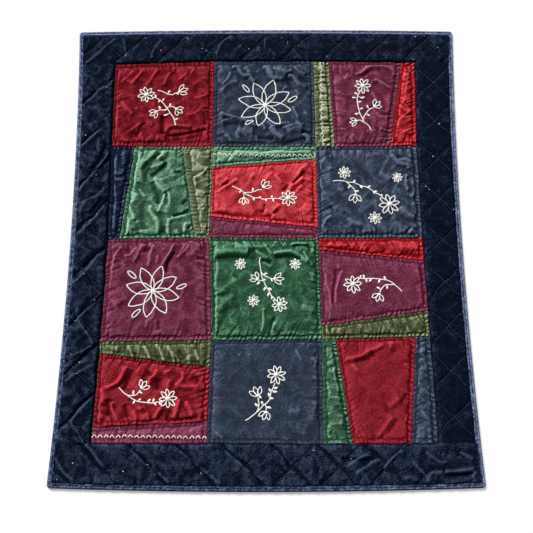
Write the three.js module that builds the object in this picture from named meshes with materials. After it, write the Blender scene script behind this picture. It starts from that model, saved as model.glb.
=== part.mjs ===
// Patchwork throw.
//
// A padded velvet throw. Twelve square blocks, three across and four down, are either one patch
// each or pieced from two slanting seams into three. Four plain border strips frame them,
// quilted in diamonds, and a narrow binding of four strips closes the edge. Each patch is pinched
// at its seams and stands higher in its middle, and the long sides draw in a little.
//
// Millimetres, +Z up. X runs across the throw and Y from its foot to its head. The origin is the
// middle of the underside, which lies flat.

import * as THREE from "three";

// ---- Driving dimensions ------------------------------------------------------------------------

const WIDTH = 1270;
const LENGTH = 1524;
const SIDE_BOW = 19; // each long side draws in this far by mid length
const HEAD_BOW = 7; // the head edge is this much further out at mid width than at its corners
const FOOT_BOW = 11;
const CORNER_RADIUS = 12;
const BINDING_WIDTH = 13;
const GAP = 0.3; // between neighbouring pieces

const SEAM_HEIGHT = 4; // thickness where stitching pinches the padding flat
const PATCH_RISE = 3; // added by the padding in the middle of a patch
const QUILT_RISE = 2.5; // added by the padding between the quilting lines of the border
const BINDING_RISE = 1.5;
const PUFF = 30; // distance from a seam at which a patch reaches its full height
const QUILT_PITCH = 138.5; // between neighbouring quilting lines, measured along X or Y
const QUILT_PUFF = 26; // distance from a quilting line at which the border is at its full height

const RIM = 12; // width of the facets along a seam
const PATCH_FACET = 50; // most that a facet measures inside a patch
const BORDER_FACET = 36;
const BINDING_FACET = 60;

// ---- Layout ------------------------------------------------------------------------------------

// Where the seams between blocks cross, as [x, y]: a row of crossings for each seam across the
// throw, from the head to the foot. Hand piecing leaves them a few millimetres out of true.
const CROSSINGS = [
  [[-506, 631], [-174, 641], [160, 641], [499, 636]],
  [[-503, 329], [-172, 328], [162, 326], [491, 328]],
  [[-497, 9], [-179, 14], [165, 11], [492, 13]],
  [[-503, -320], [-166, -316], [170, -313], [498, -305]],
  [[-513, -623], [-174, -624], [168, -627], [504, -624]],
];

// The blocks, with "at" the row from the head and the column from the left. "run" is the way the
// inner seams go: "down" the block, with each seam's two ends as fractions of the way across its
// head and foot sides, or "across" it, with them as fractions of the way down its left and right.
const BLOCKS = [
  { at: [0, 0], velvets: ["dark_red"], run: "down", seams: [] },
  { at: [0, 1], velvets: ["slate"], run: "down", seams: [] },
  { at: [0, 2], velvets: ["olive", "plum", "red"], run: "down", seams: [[0.15, 0.19], [0.87, 0.74]] },
  { at: [1, 0], velvets: ["navy", "green", "sage"], run: "down", seams: [[0.23, 0.11], [0.7, 0.865]] },
  { at: [1, 1], velvets: ["green", "red", "plum"], run: "across", seams: [[0.23, 0.135], [0.775, 0.885]] },
  { at: [1, 2], velvets: ["slate"], run: "down", seams: [] },
  { at: [2, 0], velvets: ["plum"], run: "down", seams: [] },
  { at: [2, 1], velvets: ["pine"], run: "down", seams: [] },
  { at: [2, 2], velvets: ["red", "plum", "olive"], run: "across", seams: [[0.12, 0.24], [0.875, 0.745]] },
  { at: [3, 0], velvets: ["olive", "dark_red", "plum"], run: "across", seams: [[0.12, 0.27], [0.85, 0.79]] },
  { at: [3, 1], velvets: ["slate"], run: "down", seams: [] },
  { at: [3, 2], velvets: ["green", "dark_red", "slate"], run: "down", seams: [[0.125, 0.255], [0.87, 0.765]] },
];

// The quilting of each border strip is two sets of slanting lines. "rising" and "falling" are
// y - x and y + x on one line of each set.
const QUILTING = {
  head: { rising: 860, falling: 800 },
  foot: { rising: -630, falling: -611 },
  left: { rising: 797, falling: -440 },
  right: { rising: -551, falling: 420 },
};

// The broad folds that stand in the cloth or sink into it, each a soft bank between two points.
const FOLDS = [
  { from: [-327, 310], to: [-362, 265], reach: 16, rise: 1.6 },
  { from: [-318, 282], to: [-368, 218], reach: 16, rise: -1.8 },
  { from: [-358, 219], to: [-334, 158], reach: 18, rise: 1.8 },
  { from: [-334, 158], to: [-342, 24], reach: 16, rise: 1.6 },
  { from: [-418, 285], to: [-422, 185], reach: 18, rise: 1.4 },
  { from: [-441, 132], to: [-417, 74], reach: 16, rise: 1.3 },
  { from: [-306, 28], to: [-306, 82], reach: 14, rise: 1.3 },
  { from: [-300, 84], to: [-245, 98], reach: 14, rise: -1.4 },
  { from: [235, -390], to: [360, -330], reach: 20, rise: 1.2 },
  { from: [330, -560], to: [400, -520], reach: 22, rise: 1.2 },
  { from: [-110, 600], to: [-60, 520], reach: 18, rise: 1.2 },
  { from: [-420, 590], to: [-330, 560], reach: 18, rise: 1.2 },
];

// ---- Velvets -----------------------------------------------------------------------------------

const COLOURS = {
  dark_red: 0x7e1c26,
  red: 0xb4323c,
  slate: 0x3c4558,
  navy: 0x222c40,
  plum: 0x6c3046,
  green: 0x47715a,
  pine: 0x37604a,
  olive: 0x566242,
  sage: 0x647254,
  border: 0x1a2437,
  binding: 0x505e7e,
};

function velvet(name) {
  return new THREE.MeshStandardMaterial({ color: COLOURS[name], roughness: 0.95, metalness: 0 });
}

// ---- Helpers -----------------------------------------------------------------------------------

const mix = (a, b, t) => a + (b - a) * t;
const between = ([ax, ay], [bx, by], t) => [mix(ax, bx, t), mix(ay, by, t)];
const spread = ([ax, ay], [bx, by]) => Math.hypot(bx - ax, by - ay);

function smooth(t) {
  const s = Math.min(Math.max(t, 0), 1);
  return s * s * (3 - 2 * s);
}

// Fractions at which a side of the given length is divided: a narrow facet at each end, and even
// ones between the stops.
function divisions(length, facet, stops = [0, 1]) {
  const rim = RIM / length;
  const inside = [];
  for (let span = 1; span < stops.length; span++) {
    const count = Math.ceil(((stops[span] - stops[span - 1]) * length) / facet);
    for (let i = 1; i <= count; i++) inside.push(mix(stops[span - 1], stops[span], i / count));
  }
  return [0, rim, ...inside.filter((t) => t > 1.5 * rim && t < 1 - 1.5 * rim), 1 - rim, 1];
}

// ---- The outline -------------------------------------------------------------------------------

// Distance of a long side from the middle line, at y, and of an end from the middle, at x. An
// inset draws the edge in.
const sideX = (y, inset) => WIDTH / 2 - SIDE_BOW * (1 - ((2 * y) / LENGTH) ** 2) - inset;
const headY = (x, inset) => LENGTH / 2 - HEAD_BOW * ((2 * x) / WIDTH) ** 2 - inset;
const footY = (x, inset) => -LENGTH / 2 + FOOT_BOW * ((2 * x) / WIDTH) ** 2 + inset;

// Where the right side meets an end, found by going from one edge to the other and back.
function corner(endY, inset) {
  let point = [WIDTH / 2, 0];
  for (let round = 0; round < 6; round++) {
    const y = endY(point[0], inset);
    point = [sideX(y, inset), y];
  }
  return point;
}

// The four edges, clockwise from the left one, as points at t from 0 to 1.
const EDGES = {
  left: (t, inset) => {
    const y = mix(corner(footY, inset)[1], corner(headY, inset)[1], t);
    return [-sideX(y, inset), y];
  },
  head: (t, inset) => {
    const x = mix(-1, 1, t) * corner(headY, inset)[0];
    return [x, headY(x, inset)];
  },
  right: (t, inset) => {
    const y = mix(corner(headY, inset)[1], corner(footY, inset)[1], t);
    return [sideX(y, inset), y];
  },
  foot: (t, inset) => {
    const x = mix(1, -1, t) * corner(footY, inset)[0];
    return [x, footY(x, inset)];
  },
};

// Rounds the four corners by drawing a point that lies past a corner's centre in to its radius.
function rounded([x, y]) {
  const [cornerX, cornerY] = corner(y > 0 ? headY : footY, 0);
  const centreX = Math.sign(x) * (cornerX - CORNER_RADIUS);
  const centreY = cornerY - Math.sign(y) * CORNER_RADIUS;
  const outX = Math.max((x - centreX) * Math.sign(x), 0);
  const outY = Math.max((y - centreY) * Math.sign(y), 0);
  if (outX === 0 || outY === 0) return [x, y];
  const pull = CORNER_RADIUS / Math.hypot(outX, outY);
  return [centreX + (x - centreX) * pull, centreY + (y - centreY) * pull];
}

// ---- The padded solid --------------------------------------------------------------------------

// Builds a closed pad over the plan position place(u, v), with u across and v along, for the
// given fractions of each. height(u, v, x, y) is its top, and its underside is flat at z = 0.
function padGeometry(place, acrossAt, alongAt, height) {
  const last = { u: acrossAt.length - 1, v: alongAt.length - 1 };
  const positions = [];
  const top = [];
  const foot = new Map();
  const onEdge = (i, j) => i === 0 || j === 0 || i === last.u || j === last.v;

  acrossAt.forEach((u, i) => {
    top.push([]);
    alongAt.forEach((v, j) => {
      const [x, y] = place(u, v);
      top[i].push(positions.length / 3);
      positions.push(x, y, height(u, v, x, y));
      if (!onEdge(i, j)) return;
      foot.set(`${i},${j}`, positions.length / 3);
      positions.push(x, y, 0);
    });
  });
  const under = (i, j) => foot.get(`${i},${j}`);

  const faces = [];
  const quad = (a, b, c, d) => faces.push(a, b, c, a, c, d);

  for (let i = 0; i < last.u; i++) {
    for (let j = 0; j < last.v; j++) {
      quad(top[i][j], top[i + 1][j], top[i + 1][j + 1], top[i][j + 1]);
    }
    quad(under(i, 0), under(i + 1, 0), top[i + 1][0], top[i][0]);
    quad(top[i][last.v], top[i + 1][last.v], under(i + 1, last.v), under(i, last.v));
  }
  for (let j = 0; j < last.v; j++) {
    quad(top[0][j], top[0][j + 1], under(0, j + 1), under(0, j));
    quad(under(last.u, j), under(last.u, j + 1), top[last.u][j + 1], top[last.u][j]);
  }

  // The underside: one strip of long facets, and a fan at either end.
  for (let j = 0; j < last.v; j++) {
    faces.push(under(1, 0), under(0, j), under(0, j + 1));
    faces.push(under(last.u - 1, last.v), under(last.u, j + 1), under(last.u, j));
  }
  faces.push(under(1, 0), under(0, last.v), under(1, last.v));
  faces.push(under(last.u - 1, last.v), under(last.u, 0), under(last.u - 1, 0));
  for (let i = 1; i < last.u - 1; i++) {
    quad(under(i, 0), under(i, last.v), under(i + 1, last.v), under(i + 1, 0));
  }

  const geometry = new THREE.BufferGeometry();
  geometry.setAttribute("position", new THREE.Float32BufferAttribute(positions, 3));
  geometry.setIndex(faces);
  geometry.computeVertexNormals();
  return geometry;
}

// Draws a piece in by half the gap on all four sides.
function trimmed(place, acrossLength, alongLength) {
  const u0 = GAP / 2 / acrossLength;
  const v0 = GAP / 2 / alongLength;
  return (u, v) => place(mix(u0, 1 - u0, u), mix(v0, 1 - v0, v));
}

// ---- Relief ------------------------------------------------------------------------------------

// What the folds add at a point, fading out past the ends of each.
function foldRise(x, y) {
  return FOLDS.reduce((sum, { from, to, reach, rise }) => {
    const [dx, dy] = [to[0] - from[0], to[1] - from[1]];
    const t = ((x - from[0]) * dx + (y - from[1]) * dy) / (dx * dx + dy * dy);
    const nearest = between(from, to, Math.min(Math.max(t, 0), 1));
    return sum + rise * Math.exp(-((spread([x, y], nearest) / reach) ** 2));
  }, 0);
}

// Distance to the nearest of a set of slanting quilting lines, one of which passes through first.
function quiltDistance(value, first) {
  const t = (value - first) / QUILT_PITCH;
  return Math.abs(t - Math.round(t)) * QUILT_PITCH * Math.SQRT1_2;
}

// ---- Pieces ------------------------------------------------------------------------------------

const throwGroup = new THREE.Group();

function addPiece(name, colour, geometry) {
  const mesh = new THREE.Mesh(geometry, velvet(colour));
  mesh.name = name;
  throwGroup.add(mesh);
}

// A four-sided patch, from its corners.
function addPatch(name, colour, { headLeft, headRight, footLeft, footRight }) {
  const width = (spread(headLeft, headRight) + spread(footLeft, footRight)) / 2;
  const depth = (spread(headLeft, footLeft) + spread(headRight, footRight)) / 2;
  const place = (u, v) => between(between(footLeft, footRight, u), between(headLeft, headRight, u), v);
  const height = (u, v, x, y) => {
    const fromSeam = Math.min(u * width, (1 - u) * width, v * depth, (1 - v) * depth);
    return SEAM_HEIGHT + smooth(fromSeam / PUFF) * (PATCH_RISE + foldRise(x, y));
  };
  addPiece(
    name,
    colour,
    padGeometry(
      trimmed(place, width, depth),
      divisions(width, PATCH_FACET),
      divisions(depth, PATCH_FACET),
      height,
    ),
  );
}

function addBlock({ at: [row, column], velvets, run, seams }) {
  const headLeft = CROSSINGS[row][column];
  const headRight = CROSSINGS[row][column + 1];
  const footLeft = CROSSINGS[row + 1][column];
  const footRight = CROSSINGS[row + 1][column + 1];
  const ends = [[0, 0], ...seams, [1, 1]];
  velvets.forEach((colour, i) => {
    const [near, far] = [ends[i], ends[i + 1]];
    const corners =
      run === "down"
        ? {
            headLeft: between(headLeft, headRight, near[0]),
            headRight: between(headLeft, headRight, far[0]),
            footLeft: between(footLeft, footRight, near[1]),
            footRight: between(footLeft, footRight, far[1]),
          }
        : {
            headLeft: between(headLeft, footLeft, near[0]),
            headRight: between(headRight, footRight, near[1]),
            footLeft: between(headLeft, footLeft, far[0]),
            footRight: between(headRight, footRight, far[1]),
          };
    addPatch(`patch_r${row + 1}_c${column + 1}_${colour}`, colour, corners);
  });
}

// A border strip. Its inner edge is the chain of points inner, its outer edge runs between the
// points outerAt(0) and outerAt(1), and both go clockwise round the throw.
function addBorder(name, inner, outerAt) {
  const chain = new THREE.CurvePath();
  for (let i = 1; i < inner.length; i++) {
    const [start, end] = [new THREE.Vector2(...inner[i - 1]), new THREE.Vector2(...inner[i])];
    chain.add(new THREE.LineCurve(start, end));
  }
  const length = chain.getLength();
  const stops = [0, ...chain.getCurveLengths().map((reached) => reached / length)];
  const depth = spread(chain.getPoint(0.5).toArray(), outerAt(0.5));
  const place = (u, v) => between(chain.getPoint(u).toArray(), outerAt(u), v);
  const { rising, falling } = QUILTING[name];
  const height = (u, v, x, y) => {
    const fromSeam = Math.min(u * length, (1 - u) * length, v * depth, (1 - v) * depth);
    const fromQuilting = Math.min(quiltDistance(y - x, rising), quiltDistance(y + x, falling));
    const puff = mix(0.35, 1, smooth(fromQuilting / QUILT_PUFF));
    return SEAM_HEIGHT + QUILT_RISE * smooth(fromSeam / QUILT_PUFF) * puff;
  };
  addPiece(
    `border_${name}`,
    "border",
    padGeometry(
      trimmed(place, length, depth),
      divisions(length, BORDER_FACET, stops),
      divisions(depth, BORDER_FACET),
      height,
    ),
  );
}

// A binding strip, mitred at both ends.
function addBinding(name) {
  const edge = EDGES[name];
  const length = spread(edge(0, 0), edge(1, 0));
  const place = (u, v) => between(edge(u, BINDING_WIDTH), rounded(edge(u, 0)), v);
  const turn = [0, 0.35, 0.7, 1].map((t) => (t * CORNER_RADIUS) / length);
  const count = Math.ceil(length / BINDING_FACET);
  const middle = Array.from({ length: count - 1 }, (_, i) => (i + 1) / count);
  const acrossAt = [...turn, ...middle, ...turn.map((t) => 1 - t).reverse()];
  const height = (u, v) => SEAM_HEIGHT - 1 + (1 + BINDING_RISE) * Math.sin(Math.PI * mix(0.1, 0.9, v));
  addPiece(
    `binding_${name}`,
    "binding",
    padGeometry(trimmed(place, length, BINDING_WIDTH), acrossAt, [0, 0.25, 0.5, 0.75, 1], height),
  );
}

// ---- Assembly ----------------------------------------------------------------------------------

BLOCKS.forEach(addBlock);

// The head and foot borders run the full width, and the side borders lie between them.
const headRow = CROSSINGS[0];
const footRow = CROSSINGS[CROSSINGS.length - 1];
const leftColumn = CROSSINGS.map((row) => row[0]);
const rightColumn = CROSSINGS.map((row) => row[row.length - 1]);

const bindingAt = (sign, [, y]) => [sign * sideX(y, BINDING_WIDTH), y];
const headLeft = bindingAt(-1, headRow[0]);
const headRight = bindingAt(1, headRow[headRow.length - 1]);
const footLeft = bindingAt(-1, footRow[0]);
const footRight = bindingAt(1, footRow[footRow.length - 1]);

addBorder("left", [...leftColumn].reverse(), (t) => bindingAt(-1, between(footLeft, headLeft, t)));
addBorder("head", [headLeft, ...headRow, headRight], (t) => EDGES.head(t, BINDING_WIDTH));
addBorder("right", rightColumn, (t) => bindingAt(1, between(headRight, footRight, t)));
addBorder("foot", [footRight, ...[...footRow].reverse(), footLeft], (t) => EDGES.foot(t, BINDING_WIDTH));

Object.keys(EDGES).forEach(addBinding);

export default throwGroup;
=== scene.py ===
"""Patchwork throw: the looks of its velvet patches, borders, binding and stitching.

The script works in millimetres, with x across the throw, y from its foot to its head and z up,
and turns them into metres where it makes a mesh.
"""

import math

import bmesh
import bpy
import numpy as np
from mathutils import Matrix, Vector


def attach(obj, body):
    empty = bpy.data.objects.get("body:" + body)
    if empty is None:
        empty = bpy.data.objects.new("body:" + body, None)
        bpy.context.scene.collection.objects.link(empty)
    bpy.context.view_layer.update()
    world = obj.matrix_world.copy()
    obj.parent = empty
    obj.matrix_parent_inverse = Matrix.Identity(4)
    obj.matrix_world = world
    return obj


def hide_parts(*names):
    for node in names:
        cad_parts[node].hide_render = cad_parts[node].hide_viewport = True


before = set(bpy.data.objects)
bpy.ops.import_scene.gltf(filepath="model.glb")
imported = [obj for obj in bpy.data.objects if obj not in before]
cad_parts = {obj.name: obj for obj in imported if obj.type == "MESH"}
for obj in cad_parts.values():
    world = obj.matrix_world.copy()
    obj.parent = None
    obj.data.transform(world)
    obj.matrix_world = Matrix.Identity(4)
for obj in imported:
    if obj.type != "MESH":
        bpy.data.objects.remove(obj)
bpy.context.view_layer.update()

MM = 0.001

# ---- Driving dimensions ----------------------------------------------------------------------

WIDTH = 1270
LENGTH = 1524
SIDE_BOW = 19  # how far each side curves in at its middle
HEAD_BOW = 7  # how far the head falls back at its corners
FOOT_BOW = 11  # and the foot
CORNER_RADIUS = 12
BINDING_WIDTH = 13
BINDING_TURN = 5  # further width of the binding, down its rolled edge
GAP = 0.3  # between two pieces of cloth

STITCHED_Z = 3.4  # height of the cloth along the stitched line beside a seam
# How much higher the folded allowance is at the seam itself, on each side of a patch.
LIPS = {"foot": 2.8, "right": 2.2, "head": 0.8, "left": 0.6}
RIBS = {"foot": 1.5, "right": 1.6, "head": 1.1, "left": 0.8}  # how puckered it is, likewise
EASED = 0.5  # how firmly the seam by the foot border is drawn down, against 1 elsewhere
BAND = 12.0  # usual width of a seam allowance
LOBE = 15  # length of one pucker along it
NOTCH = 3.0  # width of the nick between two puckers
CLEFT = 1.2  # depth of the cleft between two patches
CLEFT_WIDTH = 0.9
GROOVE = 0.4  # further depth of the stitched line
GROOVE_WIDTH = 1.8
PATCH_RISE = 3.4  # the padding's rise past the stitched line
PUFF = 8.5  # distance over which it rises
GATHER_HEIGHT = 1.3  # height of the gathers past the stitched line
GATHER_REACH = 13  # how far they run
PLEAT_DEPTH = 3.4  # depth of the deepest pleats among them
PLEAT_REACH = 30  # and how much further those run
BORDER_Z = 4.4  # height of a border beside the blocks
BORDER_RISE = 2.6  # the padding's rise past that
BORDER_FALL = 1.4  # and its fall beside the binding
WANDER = 1.6  # how far a seam strays from its straight line
TALLEST = 10  # height above which folds are held back
HIGHER = 4.5  # how much higher they can still be
LOWEST = 3  # height below which hollows are held back
LOWER = 1.8  # how much lower they can still be

CRUMPLES = ((52, 1.4), (27, 0.5), (14, 0.15))  # how far apart and how tall the small creases are
CREASE_HEIGHT = 2.15  # what the heights and widths in the crease tables are multiplied by
CREASE_WIDTH = 0.95
CREASE_REACH = 7  # how many widths from its line a crease is worked out to
PAINTED_LIGHT_WAY = (-0.85, 0.3)  # the way over the plan that painted light comes from: slopes facing it are painted paler, slopes facing away darker
LIT_SIDE = (-0.6, 0.8)  # towards the light, over the plan
# Creases and stitches are placed as the camera sees them on the raised cloth, this much too far up.
RAISED_VIEW = 5.0

RIM = 16.0  # width of the finer rows of mesh along a seam
FINE_STEP = 1.75  # from one of those rows to the next
STEP = 2.5  # and from one to the next elsewhere
BORDER_STEP = 1.15  # how much coarser the borders' mesh is
BINDING_STEP = 2.1  # from one row to the next along the binding

# Radius of the thread that each kind of stitching is made with.
RADII = {"flower": 1.65, "floret": 1.35, "bloom": 1.75, "bud": 1.45, "hollow": 1.75, "stem": 1.65}
RADII |= {"stalk": 1.4, "machine": 1.3, "quilting": 0.5}
THREAD_STEP = 1.2  # from one point of a stem's thread to the next
STITCH = 3.7  # length of one stitch
QUILT_STITCH = 4.0  # from one quilting stitch to the next, along x

# ---- Layout ----------------------------------------------------------------------------------

# Where the seams between blocks cross, a row of crossings for each seam from the head down.
CROSSINGS = [
    [(-506, 631), (-174, 641), (160, 641), (499, 636)],
    [(-503, 329), (-172, 328), (162, 326), (491, 328)],
    [(-497, 9), (-179, 14), (165, 11), (492, 13)],
    [(-503, -320), (-166, -316), (170, -313), (498, -305)],
    [(-513, -623), (-174, -624), (168, -627), (504, -624)],
]

# Each block by its row and column: the way its inner seams run, the two ends of each as
# fractions of the block's sides, and each patch's velvet, how crumpled it is, how gathered
# along its seams, and how rubbed pale.
BLOCKS = {
    (0, 0): ("down", [], [("dark_red", 1, 1, 0.1)]),
    (0, 1): ("down", [], [("slate", 0.8, 0.7, -0.02)]),
    (0, 2): ("down", [(0.15, 0.19), (0.87, 0.74)], [
        ("olive", 1.3, 2.6, 0.3), ("plum", 0.9, 0.9, 0.07), ("red", 1, 1.8, -0.07),
    ]),
    (1, 0): ("down", [(0.23, 0.11), (0.7, 0.865)], [
        ("navy", 0.9, 0.8, -0.26), ("green", 0.9, 1.1, 0.07), ("sage", 1.5, 1.2, 0.06),
    ]),
    (1, 1): ("across", [(0.23, 0.135), (0.775, 0.885)], [
        ("green", 0.8, 0.8, 0.3), ("red", 1, 1.1, 0.4), ("plum", 0.35, 0.5, 0.14),
    ]),
    (1, 2): ("down", [], [("slate", 1.1, 1.1, 0.08)]),
    (2, 0): ("down", [], [("plum", 0.7, 1, 0.11)]),
    (2, 1): ("down", [], [("pine", 0.8, 1.3, -0.02)]),
    (2, 2): ("across", [(0.12, 0.24), (0.875, 0.745)], [
        ("red", 0.9, 1.2, -0.14), ("plum", 0.3, 0.5, 0.11), ("olive", 0.9, 1.1, -0.2),
    ]),
    (3, 0): ("across", [(0.12, 0.27), (0.85, 0.79)], [
        ("olive", 0.9, 0.9, -0.07), ("dark_red", 0.8, 1.2, 0.3), ("plum", 0.4, 0.6, 0.24),
    ]),
    (3, 1): ("down", [], [("slate", 0.4, 0.5, -0.06)]),
    (3, 2): ("down", [(0.125, 0.255), (0.87, 0.765)], [
        ("green", 1.3, 1.1, -0.28), ("dark_red", 0.3, 0.6, 0.26), ("slate", 0.9, 0.9, -0.08),
    ]),
}

# Seam allowances that are wider or narrower than usual.
BANDS = {
    ("patch_r1_c1_dark_red", "foot"): 15,
    ("patch_r1_c1_dark_red", "right"): 14,
    ("patch_r1_c1_dark_red", "head"): 15,
    ("patch_r1_c1_dark_red", "left"): 8,
    ("patch_r2_c1_green", "right"): 4,
    ("patch_r2_c1_green", "left"): 13,
    ("patch_r2_c1_sage", "left"): 19,
    ("patch_r2_c1_sage", "right"): 7,
    ("patch_r2_c2_red", "head"): 11,
    ("patch_r1_c3_olive", "left"): 15,
    ("patch_r4_c3_slate", "left"): 12,
}

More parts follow.
